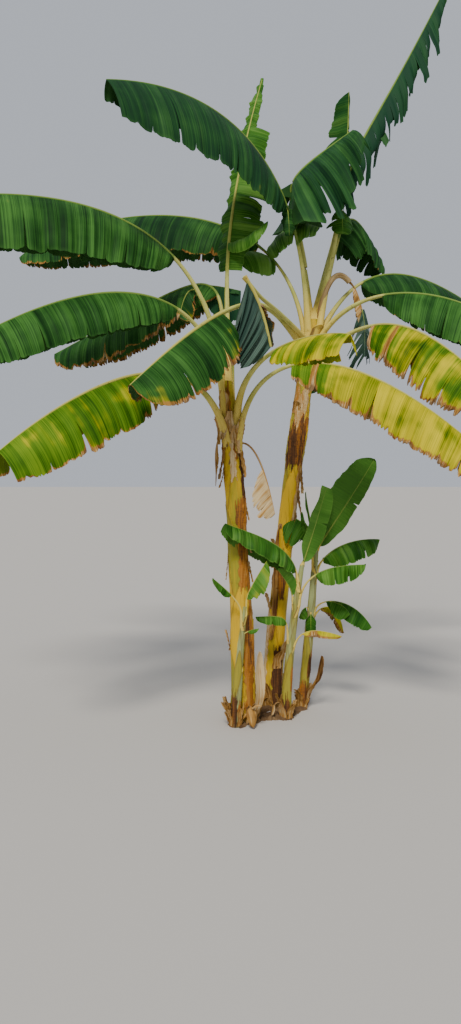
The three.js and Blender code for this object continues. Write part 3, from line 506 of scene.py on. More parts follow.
def leaf_foot(leaf, ribs):
    """Where a leaf starts: on another's rib, at its stem's tip, or in its stem's side."""
    if leaf["on"]:
        return ribs[leaf["on"]].frames(np.array([leaf["at"]]))[0][0]
    stem = STEMS[leaf["stem"]]
    foot = stem_centre(stem, leaf["at"])
    if leaf["top"]:
        return foot - UP * TOP_SUNK
    out = stem_radius(stem, leaf["at"]) * SEATED
    return foot + slope(leaf["seat"], 0) * out


def outline(place):
    """A blade's width along it, from 0 at its ends to 1 in its middle."""
    front = 1 - np.abs(1 - 2 * place) ** 2.6
    back = 1 - (2 * place - 1) ** 2
    return np.sqrt(np.clip(np.where(place < 0.5, front, back), 0, None))


# Working on meshes

def pick(*pieces):
    bpy.ops.object.select_all(action="DESELECT")
    for piece in pieces:
        piece.select_set(True)
    bpy.context.view_layer.objects.active = pieces[0]


def rename(piece, name):
    piece.name = name
    piece.data.name = name


def add_grid(name, columns, rows):
    bpy.ops.object.select_all(action="DESELECT")
    bpy.ops.mesh.primitive_grid_add(x_subdivisions=columns, y_subdivisions=rows, size=1)
    piece = bpy.context.object
    rename(piece, name)
    return piece


def read(collection, what, width, kind=float):
    values = np.empty(len(collection) * width, kind)
    collection.foreach_get(what, values)
    return values.reshape(-1, width) if width > 1 else values


def lay(piece, points):
    piece.data.vertices.foreach_set("co", np.asarray(points, np.float32).ravel())
    piece.data.update()


def mark(piece, domain="POINT", **marks):
    """Stores values that the finishes read."""
    for name, values in marks.items():
        attribute = piece.data.attributes.new(name, "FLOAT", domain)
        attribute.data.foreach_set("value", np.asarray(values, np.float32))


def map_veins(piece, long, wide, middle=0.0, turned=False):
    """The vein map: metres along the piece and metres across it, or the other way round."""
    layer = piece.data.uv_layers.active
    layer.name = "Veins"
    uv = read(layer.data, "uv", 2)
    uv = np.stack([uv[:, 0] * long, (uv[:, 1] - middle) * wide], axis=-1)
    if turned:
        uv = uv[:, ::-1]
    layer.data.foreach_set("uv", uv.ravel().astype(np.float32))


def apply_modifier(piece, kind, **settings):
    modifier = piece.modifiers.new("made", kind)
    for key, value in settings.items():
        setattr(modifier, key, value)
    bpy.context.view_layer.objects.active = piece
    bpy.ops.object.modifier_apply(modifier="made")


def give_wall(piece, thickness):
    faces = len(piece.data.polygons)
    apply_modifier(piece, "SOLIDIFY", thickness=thickness, offset=0)
    under = np.zeros(len(piece.data.polygons))
    under[faces:2 * faces] = 1
    mark(piece, "FACE", under=under)


def close_up(threshold, sides=0):
    """Merges the active piece's doubled points, and fills its holes of up to so many sides."""
    bpy.ops.object.mode_set(mode="EDIT")
    bpy.ops.mesh.select_all(action="SELECT")
    bpy.ops.mesh.remove_doubles(threshold=threshold)
    if sides:
        bpy.ops.mesh.fill_holes(sides=sides)
    bpy.ops.object.mode_set(mode="OBJECT")


def finish_piece(parts, name, sharp, node=True):
    """Joins the parts into the piece that is shown, and that replaces its node if it has one."""
    pick(*parts)
    if len(parts) > 1:
        bpy.ops.object.join()
    piece = parts[0]
    rename(piece, name + "_grown")
    bpy.ops.object.shade_smooth_by_angle(angle=math.radians(sharp))
    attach(piece, "root")
    if node:
        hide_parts(name)


# Chance, always drawn in the same order

def waves(s, draw, lengths):
    """The mean of sine waves of these lengths, each started at a chance place."""
    total = np.zeros(np.shape(s))
    for length in lengths:
        total = total + np.sin(2 * np.pi * s / length + draw.uniform(0, 2 * np.pi))
    return total / len(lengths)


def pleats(s, draw, width):
    """The folds of a blade between its cross veins: a zigzag along s, and a tone for each panel,
    dealt out at random, which the finish paints as light and shade on the folds' facets.
    """
    knots, heights = [s.min() - width], [0.0]
    while knots[-1] < s.max() + width:
        knots.append(knots[-1] + width * draw.uniform(0.3, 1.0))
        heights.append(draw.uniform(0.4, 1.0) * (1 if len(knots) % 2 else -1))
    tones = draw.uniform(-1, 1, len(knots))
    return np.interp(s, knots, heights), tones[np.searchsorted(knots, s) - 1]


def rough(x, draw, step, size):
    """An uneven edge: chance heights every step along x."""
    knots = np.arange(x.min() - step, x.max() + 2 * step, step)
    return np.interp(x, knots, draw.uniform(-size, size, len(knots)))


# Tears: place along the blade, half it is in, depth as a share of the width, gap at the edge

def deep_tears(leaf):
    found = list(leaf["splits"])
    for index in range(leaf["tears"]):
        place = 0.1 + 0.8 * (index + 0.3 + 0.4 * golden(index + 1)) / leaf["tears"]
        found.append((place, index % 2, 0.5 + 0.35 * golden(index + 2), leaf["gape"]))
    return found


def small_tears(leaf, draw):
    """Shallow rips along both edges, and now and then a longer one."""
    found = []
    for half in (0, 1):
        for index in range(leaf["rips"]):
            place = (index + draw.uniform(0.15, 0.85)) / leaf["rips"]
            depth = 0.07 + 0.6 * draw.uniform(0, 1) ** 3
            found.append((place, half, depth, draw.uniform(0.1, 0.5) * leaf["gape"]))
    return found


def place_tears(leaf, columns, rungs, draw):
    """The tears as columns of the grid, with none too near another or in a narrowed part."""
    tears = []
    for place, half, depth, gap in deep_tears(leaf) + small_tears(leaf, draw):
        column = round(place * columns)
        taken = [tear["column"] for tear in tears if tear["half"] == half]
        root = max(1, round((1 - depth) * rungs))
        shrunk = any(half == which and first - 0.05 < place < last + 0.05 and factor < 0.5
                     for which, first, last, factor in leaf["narrow"])
        free = 2 < column < columns - 2 and root < rungs and not shrunk
        if free and all(abs(column - other) > 3 for other in taken):
            tears.append(dict(column=column, half=half, root=root, gap=gap))
    return tears


def tear_grid(piece, columns, rungs, tears):
    """Splits the grid along each tear, from the tear's root out to the edge."""
    mesh = piece.data
    pairs = read(mesh.edges, "vertices", 2, np.int32)
    column = pairs % (columns + 1)
    rung = pairs // (columns + 1) - rungs
    across = column[:, 0] == column[:, 1]
    inner = np.abs(rung).min(axis=1)
    half = np.where(rung.sum(axis=1) > 0, 0, 1)
    chosen = np.zeros(len(pairs), bool)
    for tear in tears:
        chosen |= (across & (column[:, 0] == tear["column"]) & (half == tear["half"])
                   & (inner >= tear["root"]))
    mesh.vertices.foreach_set("select", np.zeros(len(mesh.vertices), bool))
    mesh.polygons.foreach_set("select", np.zeros(len(mesh.polygons), bool))
    mesh.edges.foreach_set("select", chosen)
    bpy.context.tool_settings.mesh_select_mode = (False, True, False)
    bpy.ops.object.mode_set(mode="EDIT")
    bpy.ops.mesh.edge_split(type="EDGE")
    bpy.ops.object.mode_set(mode="OBJECT")


def strip_table(columns, rungs, tears, leaf, draw):
    """The strips of a blade that its tears leave, half by half."""
    strips = []
    for half in (0, 1):
        cuts = sorted((t for t in tears if t["half"] == half), key=lambda t: t["column"])
        whole = dict(column=0, root=rungs, gap=0.0)
        bounds = [whole] + cuts + [dict(whole, column=columns)]
        for first, last in zip(bounds, bounds[1:]):
            strips.append(dict(
                half=half, start=first["column"], end=last["column"],
                roots=(first["root"] / rungs, last["root"] / rungs),
                gaps=(first["gap"], last["gap"]),
                stray=draw.uniform(-0.5, 1.0) * leaf["stray"],
                reach=draw.uniform(-1, 0.25) * leaf["uneven"],
                # A tone for the strip, dealt out at random, which the finish paints as light and
                # shade on it
                tone=draw.uniform(-1, 1)))
    return strips


def strip_of_each(piece, strips, columns):
    """The strip that each vertex belongs to. A vertex shared by two takes either."""
    mesh = piece.data
    centres = read(mesh.polygons, "center", 3)
    place = (centres[:, 0] + 0.5) * columns
    face_strip = np.zeros(len(centres), int)
    for index, strip in enumerate(strips):
        here = (centres[:, 1] > 0) == (strip["half"] == 0)
        face_strip[here & (place > strip["start"]) & (place < strip["end"])] = index
    owner = np.zeros(len(mesh.vertices), int)
    owner[read(mesh.loops, "vertex_index", 1, np.int32)] = np.repeat(face_strip, 4)
    return owner


# Blade: a grid that is torn along its cross veins and laid along the rib

class Sheet:
    """What is known at each vertex of a torn grid: u along the blade, v out from its rib, t from
    one side of its strip to the other, and how far the tears beside it are open there."""

    def __init__(self, piece, strips, columns, size):
        flat = read(piece.data.vertices, "co", 3)
        owner = strip_of_each(piece, strips, columns)
        self.strip = {key: np.array([s[key] for s in strips], float)[owner] for key in strips[0]}
        self.half = self.strip["half"].astype(int)
        self.u = np.clip(flat[:, 0] + 0.5, 0, 1)
        self.v = np.abs(flat[:, 1] * 2)
        self.s = self.u * size
        self.cells = self.strip["end"] - self.strip["start"]
        self.t = np.clip((self.u * columns - self.strip["start"]) / np.maximum(self.cells, 1), 0, 1)
        self.roots = self.strip["roots"].T
        self.open = [np.clip((self.v - r) / np.maximum(1 - r, 0.05), 0, 1) for r in self.roots]
        self.size = size
        self.columns = columns


def half_width(leaf, sheet, draw):
    """The blade's outline, with the uneven reach of its strips and its frayed and ragged edge."""
    u, v, t, half = sheet.u, sheet.v, sheet.t, sheet.half
    trimmed = leaf["trim"][0] + (leaf["trim"][1] - leaf["trim"][0]) * u
    least = leaf["rib"] * (0.75 - 0.55 * u)
    wide = (np.array(leaf["wide"]) * leaf["spread"])[half] * outline(trimmed)
    for which, first, last, factor in leaf["narrow"]:
        wide = np.where((half == which) & (u > first) & (u < last), wide * factor, wide)
    frayed = 1 + leaf["frayed"] * waves(sheet.s, draw, FRAY_WAVES) * v ** 3
    corner = sheet.open[0] * (1 - t) ** 14 + sheet.open[1] * t ** 14
    reach = (1 + sheet.strip["reach"] * smooth((v - 0.4) / 0.6)) * (1 - 0.05 * corner * v ** 2)
    nicks = 0.3 - 2.4 * draw.uniform(0, 1, (2, sheet.columns + 1)) ** 4
    nicks = nicks[half, np.rint(u * sheet.columns).astype(int)]
    wide = np.maximum(least, wide) * frayed * reach
    return wide + leaf["ragged"] * nicks * v ** 6 * np.minimum(1, wide / 0.1)


def hang_strips(leaf, sheet):
    """How far out from the rib and down a vertex is, in half widths, and its slope in radians."""
    v = sheet.v
    fold, sag = math.radians(leaf["fold"]), math.radians(leaf["sag"])
    droop = fold + (sag - fold) * v
    out = (np.sin(droop) - math.sin(fold)) / (sag - fold)
    down = (math.cos(fold) - np.cos(droop)) / (sag - fold)
    root = np.maximum(*sheet.roots)
    loose = np.clip((v - np.where(root >= 1, 1.1, root)) / 0.6, 0, 1)
    lift = np.radians(sheet.strip["stray"]) * loose
    held_out, held_down = out * (1 - loose), down * (1 - loose)
    free_out, free_down = out - held_out, down - held_down
    out = held_out + free_out * np.cos(lift) - free_down * np.sin(lift)
    down = held_down + free_out * np.sin(lift) + free_down * np.cos(lift)
    return out, down, droop


def lift_face(leaf, sheet, band, draw):
    """How far folds, waves and wrinkles lift the blade, and the tone of each of its panels, which
    the finish paints as light and shade on the folds' facets.
    """
    s, v = sheet.s, sheet.v
    zigzag, panel = pleats(s, draw, leaf["pleat_width"])
    ripple = leaf["pleat"] * zigzag * smooth(v * 2.5 + 0.1)
    sway = leaf["sway"] * waves(s, draw, SWAY_WAVES) * v ** 2
    sway = sway + leaf["curl"] * waves(s, draw, CURL_WAVES) * v ** 7
    return ripple + (sway + WRINKLE * band * np.sin(s * 220 + v * 9) * smooth(v * 6)), panel


def dry_edges(leaf, sheet, wide, band, draw):
    """How dry the blade is: at its edge, beside its tears and in its burnt bands."""
    s, v, t = sheet.s, sheet.v, sheet.t
    near_tear = np.zeros(len(v))
    for side, edge in enumerate((t, 1 - t)):
        distance = edge * sheet.cells * sheet.size / sheet.columns
        near_tear = np.maximum(near_tear, sheet.open[side] * np.exp(-distance / 0.012))
    margin = np.exp(-(1 - v) * wide / (0.01 + 0.018 * leaf["scorch"]))
    patch = 0.5 + 0.5 * waves(s + 0.3 * v, draw, PATCH_WAVES)
    dry = leaf["scorch"] * (0.35 + 1.3 * patch) * (margin + 0.8 * near_tear)
    return np.clip(dry + band * (0.6 + 0.4 * v), 0, 1.5)


def grow_blade(leaf, rib, draw):
    """The leaf's blade, as a thin closed skin, with what its finish reads from it."""
    young = max(leaf["wide"]) < YOUNG_WIDTH
    rungs = RUNGS_YOUNG if young else RUNGS
    size = rib.length - rib.stalk
    columns = max(24, round(size / (STATION_YOUNG if young else STATION)))
    tears = place_tears(leaf, columns, rungs, draw)
    piece = add_grid(leaf["name"] + "_blade", columns, 2 * rungs)
    tear_grid(piece, columns, rungs, tears)
    strips = strip_table(columns, rungs, tears, leaf, draw)
    sheet = Sheet(piece, strips, columns, size)

    wide = half_width(leaf, sheet, draw)
    out, down, droop = hang_strips(leaf, sheet)
    band = np.zeros(len(sheet.v))
    for share, half_band in leaf["burnt"]:
        band = band + np.exp(-((sheet.s - share * size) / half_band) ** 2)
    raised, panel = lift_face(leaf, sheet, band, draw)
    gaps = sheet.strip["gaps"].T
    shift = gaps[0] * sheet.open[0] * (1 - sheet.t) - gaps[1] * sheet.open[1] * sheet.t

    at, along, side, _, pulled = rib.frames(rib.share + (1 - rib.share) * sheet.u)
    sign = np.where(sheet.half == 0, -1.0, 1.0)
    face = unit(side * (sign * np.sin(droop))[:, None] + pulled * np.cos(droop)[:, None])
    lay(piece, at + side * (sign * out * wide)[:, None] - pulled * (down * wide)[:, None]
        + along * (shift + leaf["slant"] * sheet.v * wide)[:, None] + face * raised[:, None])
    mark(piece, scorched=dry_edges(leaf, sheet, wide, band, draw), panel=panel, outward=sheet.v,
         strip_tone=sheet.strip["tone"], leaf_tone=leaf["tone"] + leaf["tone_step"] * sheet.half,
         ripe=np.interp(sheet.u, (0, 0.12, 0.3, 1), leaf["ripe"]))
    map_veins(piece, size, 2 * max(leaf["wide"]), 0.5, leaf["lengthwise"])
    give_wall(piece, YOUNG_THICKNESS if young else BLADE_THICKNESS)
    return piece


# Stalk and rib: a grid rolled into a tube, grooved on top

def roll_tube(name, rings, sides, place):
    """A closed tube: place gives points and marks for shares along it and angles round it."""
    piece = add_grid(name, rings, sides)
    flat = read(piece.data.vertices, "co", 3)
    points, marks = place(np.clip(flat[:, 0] + 0.5, 0, 1), (flat[:, 1] + 0.5) * 2 * np.pi)
    lay(piece, points)
    mark(piece, **marks)
    close_up(MERGED, sides + 2)
    return piece


def clasp(leaf, w):
    """The foot of a stalk where it widens and runs down into its stem, from w = 0 to w = 1."""
    stem = STEMS[leaf["stem"]]
    z = leaf["at"] - w * min(CLASP * leaf["rib"], leaf["at"] * 0.8)
    out = np.broadcast_to(slope(leaf["seat"], 0), (len(w), 3))
    side = np.broadcast_to(slope(leaf["seat"] - 90, 0), (len(w), 3))
    radius = stem_radius(stem, z)
    sunk = radius * (0.93 - 0.12 * w)
    return stem_centre(stem, z) + out * sunk[:, None], side, -out, radius


def stalk_radius(leaf, rib, u, w):
    """The radius of stalk and rib, and the depth of the groove on top as a share of it."""
    on_stalk = u / max(rib.share, 1e-6)
    on_blade = (u - rib.share) / max(1 - rib.share, 1e-6)
    stout, taper, blunt = leaf["stout"], leaf["taper"], leaf["blunt"]
    radius = leaf["rib"] * np.where(
        u <= rib.share,
        1.15 * stout * (1 - on_stalk) + taper * on_stalk,
        taper - (taper - blunt) * on_blade ** 0.7)
    return radius, 0.4 * (1 - smooth(on_blade * 3)) * (1 - w) + 0.06


def grow_stalk(leaf, rib):
    """The bare stalk and the rib behind it: grooved on top, and wide where it clasps the stem."""
    clasping = not leaf["on"] and not leaf["top"]
    below = CLASP_SHARE if clasping else 0.0
    rings = max(12, round(rib.length / STALK_RING)) + (CLASP_RINGS if clasping else 0)

    def place(k, angle):
        u = np.clip((k - below) / (1 - below), 0, 1)
        w = np.clip((below - k) / max(below, 1e-6), 0, 1)
        at, _, side, crest, _ = rib.frames(u)
        radius, groove = stalk_radius(leaf, rib, u, w)
        r = radius * (1 - groove * np.exp(-(turned_from(angle, 90) / 0.62) ** 2))
        foot = np.exp(-u * rib.length / (6 * leaf["rib"]))
        across = r * np.cos(angle) * (1 + 0.6 * foot + 1.5 * w)
        high = r * np.sin(angle) * (1 - 0.8 * w)
        if clasping:
            low_at, low_side, low_crest, stem_r = clasp(leaf, w)
            turn = smooth(w * 5)[:, None]
            at = at * (1 - turn) + low_at * turn
            side = side * (1 - turn) + low_side * turn
            crest = crest * (1 - turn) + low_crest * turn
            high = high + turn[:, 0] * across ** 2 / (2 * stem_r)
        hem = smooth(w * 4) * np.abs(np.cos(angle)) ** 6
        return at + side * across[:, None] + crest * high[:, None], dict(hem=hem)

    piece = roll_tube(leaf["name"] + "_stalk", rings, STALK_SIDES, place)
    map_veins(piece, rib.length, 2 * np.pi * leaf["rib"])
    points = read(piece.data.vertices, "co", 3)
    nearest = np.linalg.norm(points[:, None] - rib.points[None, ::RIB_STEP], axis=2).argmin(axis=1)
    mark(piece, leaf_tone=np.full(len(points), leaf["tone"]),
         from_foot=np.linalg.norm(points - rib.points[0], axis=1),
         on_blade=rib.run[::RIB_STEP][nearest] > rib.stalk,
         ripe=np.full(len(points), leaf["ripe"][2] + leaf["pale_rib"]))
    return piece


def grow_leaf(leaf, ribs, finishes):
    draw = np.random.default_rng(sum(map(ord, leaf["name"])))
    rib = Rib(leaf, leaf_foot(leaf, ribs))
    ribs[leaf["name"]] = rib
    parts = []
    if rib.share < 1:
        sheet = grow_blade(leaf, rib, draw)
        sheet.data.materials.append(finishes[leaf["skin"] or leaf["finish"]])
        parts.append(sheet)
    bar = grow_stalk(leaf, rib)
    usual = "dry_stalk" if leaf["finish"] == "dry" else "stalk"
    bar.data.materials.append(finishes[leaf["bar"] or usual])
    parts.append(bar)
    finish_piece(parts, leaf["name"], LEAF_SHARP, leaf["node"])


# Stems: a skin of overlapping sheaths, with what is left of dead ones over it, and a patch of painted
# shade on the main stem

def lay_sheaths(stem, z, angle, draw):
    """The sheaths from the top down: their relief, their edges and how golden they are."""
    live = [(leaf["at"], leaf["seat"], LIVE_GOLD) for leaf in LEAVES
            if STEMS.get(leaf["stem"]) is stem and leaf["finish"] != "dry"
            and not leaf["top"] and not leaf["on"]]
    relief, margin = np.zeros(z.shape), np.zeros(z.shape)
    gold = np.full(z.shape, 0.4)
    for top, side, tone in sorted(live + stem["sheaths"], reverse=True):
        below = np.clip(top - z, 0, None)
        spread = np.pi * (below / stem["open_over"]) ** 0.75 + rough(z, draw, 0.03, 0.05)
        inside = (spread - turned_from(angle, side)) * stem_radius(stem, z)
        covered = (inside > 0) & (below > 0)
        parted = spread < ROUND
        relief += np.where(covered & parted, stem["layer"] * np.exp(-inside / SHEATH_FADE), 0)
        edge = np.exp(-np.abs(inside) / SHEATH_EDGE) * (below > 0) * parted
        margin = np.maximum(margin * np.where(covered, 0.25, 1), edge)
        gold = np.where(covered, tone, gold)
    return relief, margin, gold


def lay_coats(stem, z, angle, draw):
    """What is left of dead sheaths, and one patch of painted shade on the main stem: its relief,
    where it is, and its tone.
    """
    relief, coat, coat_tone = np.zeros(z.shape), np.zeros(z.shape), np.zeros(z.shape)
    for low, high, side, half, tone, lift in stem["coats"]:
        ragged = rough(angle, draw, 0.12, 0.035)
        around = (math.radians(half) + rough(z, draw, 0.025, 0.16)
                  - turned_from(angle, side)) * stem_radius(stem, z)
        inside = np.minimum(around, np.minimum(z - low - ragged, high - z + ragged * 1.4))
        relief += lift * smooth(inside / 0.006) * (0.6 + 0.4 * np.exp(-inside / 0.02))
        here = smooth(inside / 0.003 + 0.5)
        coat = np.maximum(coat, here)
        coat_tone = np.where(here > 0.3, tone, coat_tone)
    return relief, coat, coat_tone


def fibres(stem, z, angle):
    """Fine ribs along a stem, and its slow bulges."""
    fine = (np.sin(37 * angle + 2.2 * z) + np.sin(23 * angle - 1.3 * z + 2)
            + np.sin(11 * angle + 3 * z))
    bulge = np.sin(5 * angle + 2.1 * z + 1) + np.sin(3 * angle - 4.4 * z + 4)
    return 0.0003 * fine + stem["layer"] * 0.3 * bulge


def grow_stem(stem, finishes):
    seed = sum(map(ord, stem["node"]))
    skin_draw = np.random.default_rng(seed)

    def place(u, angle):
        z, turn = u * stem["height"], -angle
        relief, margin, gold = lay_sheaths(stem, z, turn, skin_draw)
        coat_relief, coat, coat_tone = lay_coats(stem, z, turn, skin_draw)
        radius = (stem_radius(stem, z) + (relief + coat_relief) + fibres(stem, z, turn)
                  - stem["layer"])
        return (stem_centre(stem, z) + level(turn) * radius[:, None],
                dict(margin=margin, gold=gold, coat=coat, coat_tone=coat_tone, height=u))

    skin = roll_tube(stem["node"] + "_skin", stem["rings"], stem["sides"], place)
    skin.data.materials.append(finishes[stem["finish"]])
    parts = [skin]
    draw = np.random.default_rng(seed + 1)
    girth = stem["girth"][0][1]
    stubs = [(draw.uniform(0, 0.012), 360 * golden(k), girth * draw.uniform(0.5, 0.95),
              draw.uniform(0.05, 0.13), draw.uniform(0.006, 0.035)) for k in range(stem["stubs"])]
    for index, measures in enumerate(stem["flaps"] + stubs):
        part = grow_flap(stem, f"{stem['node']}_flap_{index}", draw, *measures)
        part.data.materials.append(finishes["dry"])
        parts.append(part)
    finish_piece(parts, stem["node"], STEM_SHARP)


def grow_flap(stem, name, draw, z, side, width, length, lift):
    """A dry strip of sheath: it leaves the stem at height z and curls away from it.
    A length below 0 hangs down, and one above 0 stands up."""
    piece = add_grid(name, max(6, round(abs(length) / FLAP_STEP)), FLAP_RUNGS)
    flat = read(piece.data.vertices, "co", 3)
    q, c = flat[:, 0] + 0.5, flat[:, 1] * 2
    height = z + q * length
    on_stem = np.clip(height, 0, stem["height"])
    radius = stem_radius(stem, on_stem)
    narrow = 1 - 0.75 * q ** 2.2 + 0.12 * np.sin(9 * q + draw.uniform(0, 6))
    half = c * width / 2 * narrow + 0.15 * width * np.sin(5 * q + draw.uniform(0, 6)) * q
    curl = draw.uniform(0.3, 1.0) * width * 0.3 * np.abs(c) ** 2 * (0.3 + q)
    crumple = 0.0025 * np.sin(30 * q + 4 * c + draw.uniform(0, 6))
    away = radius + 0.0015 + lift * q ** 1.6 + curl + crumple * (q > 0)
    out = level(math.radians(side) + half / radius)
    points = stem_centre(stem, on_stem) + out * away[:, None]
    points[:, 2] = np.maximum(height, 0.001)
    lay(piece, points)
    map_veins(piece, abs(length), width, turned=True)
    give_wall(piece, STRIP_THICKNESS)
    return piece


# The crown of old sheath stubs that the stems share

def copy_of(source):
    """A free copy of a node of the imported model, with a mesh of its own."""
    piece = source.copy()
    piece.data = source.data.copy()
    piece.parent = None
    bpy.context.scene.collection.objects.link(piece)
    for key in list(piece.keys()):
        if key.startswith("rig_"):
            del piece[key]
    return piece


def grow_crown(finishes):
    """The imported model's crown, made again as an even grid and then lumpy and fibrous."""
    piece = copy_of(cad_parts["root_crown"])
    pick(piece)
    close_up(MERGED / 2)
    apply_modifier(piece, "REMESH", mode="VOXEL", voxel_size=CROWN_VOXEL)
    co = read(piece.data.vertices, "co", 3)
    x, y, z = co.T
    lumps = np.sin(x * 62 + 2 * np.sin(y * 31)) * np.sin(y * 55 + 2 * np.sin(x * 27))
    strands = (np.sin(x * 190 + 3 * np.sin(y * 60)) + np.sin(y * 170 + 2 * np.sin(x * 75))
               + np.sin((x + y) * 330)) / 3
    height = 0.65 * z + (0.011 * lumps + 0.004 * strands) * smooth(z / 0.02)
    co[:, 2] = np.where(z > 0.003, np.maximum(height, 0.002), np.where(z < 0.002, 0, z))
    middle = co[:, :2].mean(axis=0)
    side = np.arctan2(y - middle[1], x - middle[0])
    ragged = (np.sin(side * 23) + np.sin(side * 41 + 1) + np.sin(side * 67 + 2)) / 3
    co[:, :2] = middle + (co[:, :2] - middle) * (0.92 + 0.06 * ragged)[:, None]
    lay(piece, co)
    piece.data.materials.clear()
    piece.data.materials.append(finishes["crown"])
    finish_piece([piece], "root_crown", STEM_SHARP)


# Finishes

def operator(operation, reflected=False):
    def result(self, other):
        first, second = (other, self) if reflected else (self, other)
        return self.finish.add("ShaderNodeMath", {"operation": operation}, {0: first, 1: second})
    return result


class Value:
    """One output of a finish's node. Sums on it become Math nodes."""

    def __init__(self, finish, socket):
        self.finish = finish
        self.socket = socket

    __add__, __radd__ = operator("ADD"), operator("ADD", reflected=True)
    __sub__, __rsub__ = operator("SUBTRACT"), operator("SUBTRACT", reflected=True)
    __mul__, __rmul__ = operator("MULTIPLY"), operator("MULTIPLY", reflected=True)

    def between(self, low, high):
        """0 below low, 1 above high, and smooth in between."""
        return self.finish.add(
            "ShaderNodeMapRange", {"interpolation_type": "SMOOTHSTEP"},
            {"Value": self, "From Min": low, "From Max": high})


def set_stops(elements, stops):
    while len(elements) < len(stops):
        elements.new(1.0)
    for element, (place, colour) in zip(elements, stops):
        element.position = place
        element.color = (*colour, 1)


class Finish:
    """A material under construction."""

    def __init__(self, name, roughness=0.5, specular=0.4):
        self.material = bpy.data.materials.new(name)
        self.material.use_nodes = True
        self.tree = self.material.node_tree
        self.shader = self.tree.nodes["Principled BSDF"]
        self.shader.inputs["Roughness"].default_value = roughness
        self.shader.inputs["Specular IOR Level"].default_value = specular

    def add(self, kind, settings, inputs, output=0):
        """A node of this kind: its settings are set first, then its values and links."""
        node = self.tree.nodes.new(kind)
        for key, value in settings.items():
            if key == "stops":
                set_stops(node.color_ramp.elements, value)
            else:
                setattr(node, key, value)
        for key, value in inputs.items():
            self.feed(node.inputs[key], value)
        return Value(self, node.outputs[output])

    def feed(self, socket, value):
        if isinstance(value, Value):
            self.tree.links.new(value.socket, socket)
        elif isinstance(value, tuple) and len(value) == 3 and socket.type == "RGBA":
            socket.default_value = (*value, 1)
        else:
            socket.default_value = value

    def surface(self, **inputs):
        for key, value in inputs.items():
            self.feed(self.shader.inputs[key.replace("_", " ")], value)

    def mark(self, name):
        return self.add("ShaderNodeAttribute", {"attribute_name": name}, {}, "Fac")

    def place(self):
        return self.add("ShaderNodeTexCoord", {}, {}, "Object")

    def veins(self):
        """The vein map's two values."""
        vector = self.add("ShaderNodeUVMap", {"uv_map": "Veins"}, {})
        node = self.add("ShaderNodeSeparateXYZ", {}, {0: vector}).socket.node
        return Value(self, node.outputs[0]), Value(self, node.outputs[1])

    def together(self, x, y, z):
        return self.add("ShaderNodeCombineXYZ", {}, {0: x, 1: y, 2: z})

    def stretched(self, vector, scale):
        return self.add("ShaderNodeVectorMath", {"operation": "MULTIPLY"}, {0: vector, 1: scale})

    def noise(self, vector, scale=1.0, detail=2.0, roughness=0.5):
        return self.add("ShaderNodeTexNoise", {}, {
            "Vector": vector, "Scale": scale, "Detail": detail, "Roughness": roughness})

    def ramp(self, value, *stops):
        """The colour at a value, between stops of (value, colour)."""
        return self.add("ShaderNodeValToRGB", {"stops": stops}, {0: value})

    def blend(self, share, first, second):
        return self.add("ShaderNodeMix", {"data_type": "RGBA"}, {0: share, 6: first, 7: second}, 2)

    def bump(self, height, strength, distance):
        return self.add("ShaderNodeBump", {}, {
            "Height": height, "Strength": strength, "Distance": distance})


# Colours, as linear light
TAN = (0.4, 0.21, 0.05)
CRISP_BROWN = (0.2, 0.085, 0.018)
CREAM = (0.6, 0.46, 0.25)
BROWN = (0.11, 0.045, 0.016)
DARK_BROWN = (0.025, 0.012, 0.006)
ORANGE = (0.4, 0.15, 0.015)
PALE = (0.5, 0.48, 0.45)
RIPE = ((0.13, 0.18, 0.002), (0.36, 0.33, 0.002), (0.6, 0.5, 0.006))


def blade_finish(name, dark, middle, pale, blue, underside, roughness, rim):
    """A blade: fine lines along its cross veins, a tone for each panel between folds and each torn
    strip that paints light and shade on them, a paler underside, and dry edges. Rim is how pale its
    edge is."""
    f = Finish(name, specular=0.07)
    along, across = f.veins()
    tone, strip, outward = f.mark("leaf_tone"), f.mark("strip_tone"), f.mark("outward")
    own = tone * 7 + strip * 0.1
    broad = f.noise(f.together(along * 24, across * 0.8, own))
    fine = f.noise(f.together(along * 150, across * 1.2, own), detail=3, roughness=0.7)
    drift = f.noise(f.together(along * 5, across * 6, own))
    # The panel and strip tones are painted light and shade: some panels and strips are made lighter
    # and others darker, as their facets would catch the light
    bands = (broad * 0.15 + fine * 0.6 + drift * 0.25 + f.mark("panel") * 0.06 + strip * 0.05
             + tone * 0.05)
    green = f.ramp(bands, (0.37, dark), (0.5, middle), (0.66, pale))
    ripe = f.ramp(bands, (0.36, RIPE[0]), (0.48, RIPE[1]), (0.62, RIPE[2]))
    dryness = f.mark("scorched") + (fine - 0.5) * 0.7 + (drift - 0.5) * 0.5
    ripeness = f.mark("ripe") + (drift - 0.5) * 1.0 + (broad - 0.5) * 0.9 + dryness * 0.35
    bluish = f.blend((0 - tone) * 0.6, green, blue)
    colour = f.blend(ripeness.between(0.4, 0.95), bluish, ripe)
    below = f.blend(f.mark("under") * 0.6, colour, underside)
    near_rib = (1 - outward).between(0.955, 0.995) * 0.7
    lined = f.blend(near_rib + outward.between(0.93, 1.0) * rim, below, pale)
    crisp = f.blend((fine * 0.6 + broad * 0.4).between(0.42, 0.56), CRISP_BROWN, TAN)
    dried = f.blend(dryness.between(0.42, 0.55), lined, crisp)
    papery = (dryness * 0.4 + fine * 0.8).between(0.72, 0.86) * dryness.between(0.45, 0.6)
    bleached = f.blend(papery * 0.85, dried, CREAM)
    burnt = f.blend((dryness * 0.5 - broad).between(-0.12, 0.08) * 0.75, bleached, BROWN)
    f.surface(
        Base_Color=burnt,
        Roughness=fine * 0.25 + (roughness - 0.12) + dryness.between(0.3, 0.6) * 0.25,
        Normal=f.bump(broad * 0.3 + fine * 0.7, 0.5, 0.004))
    return f.material


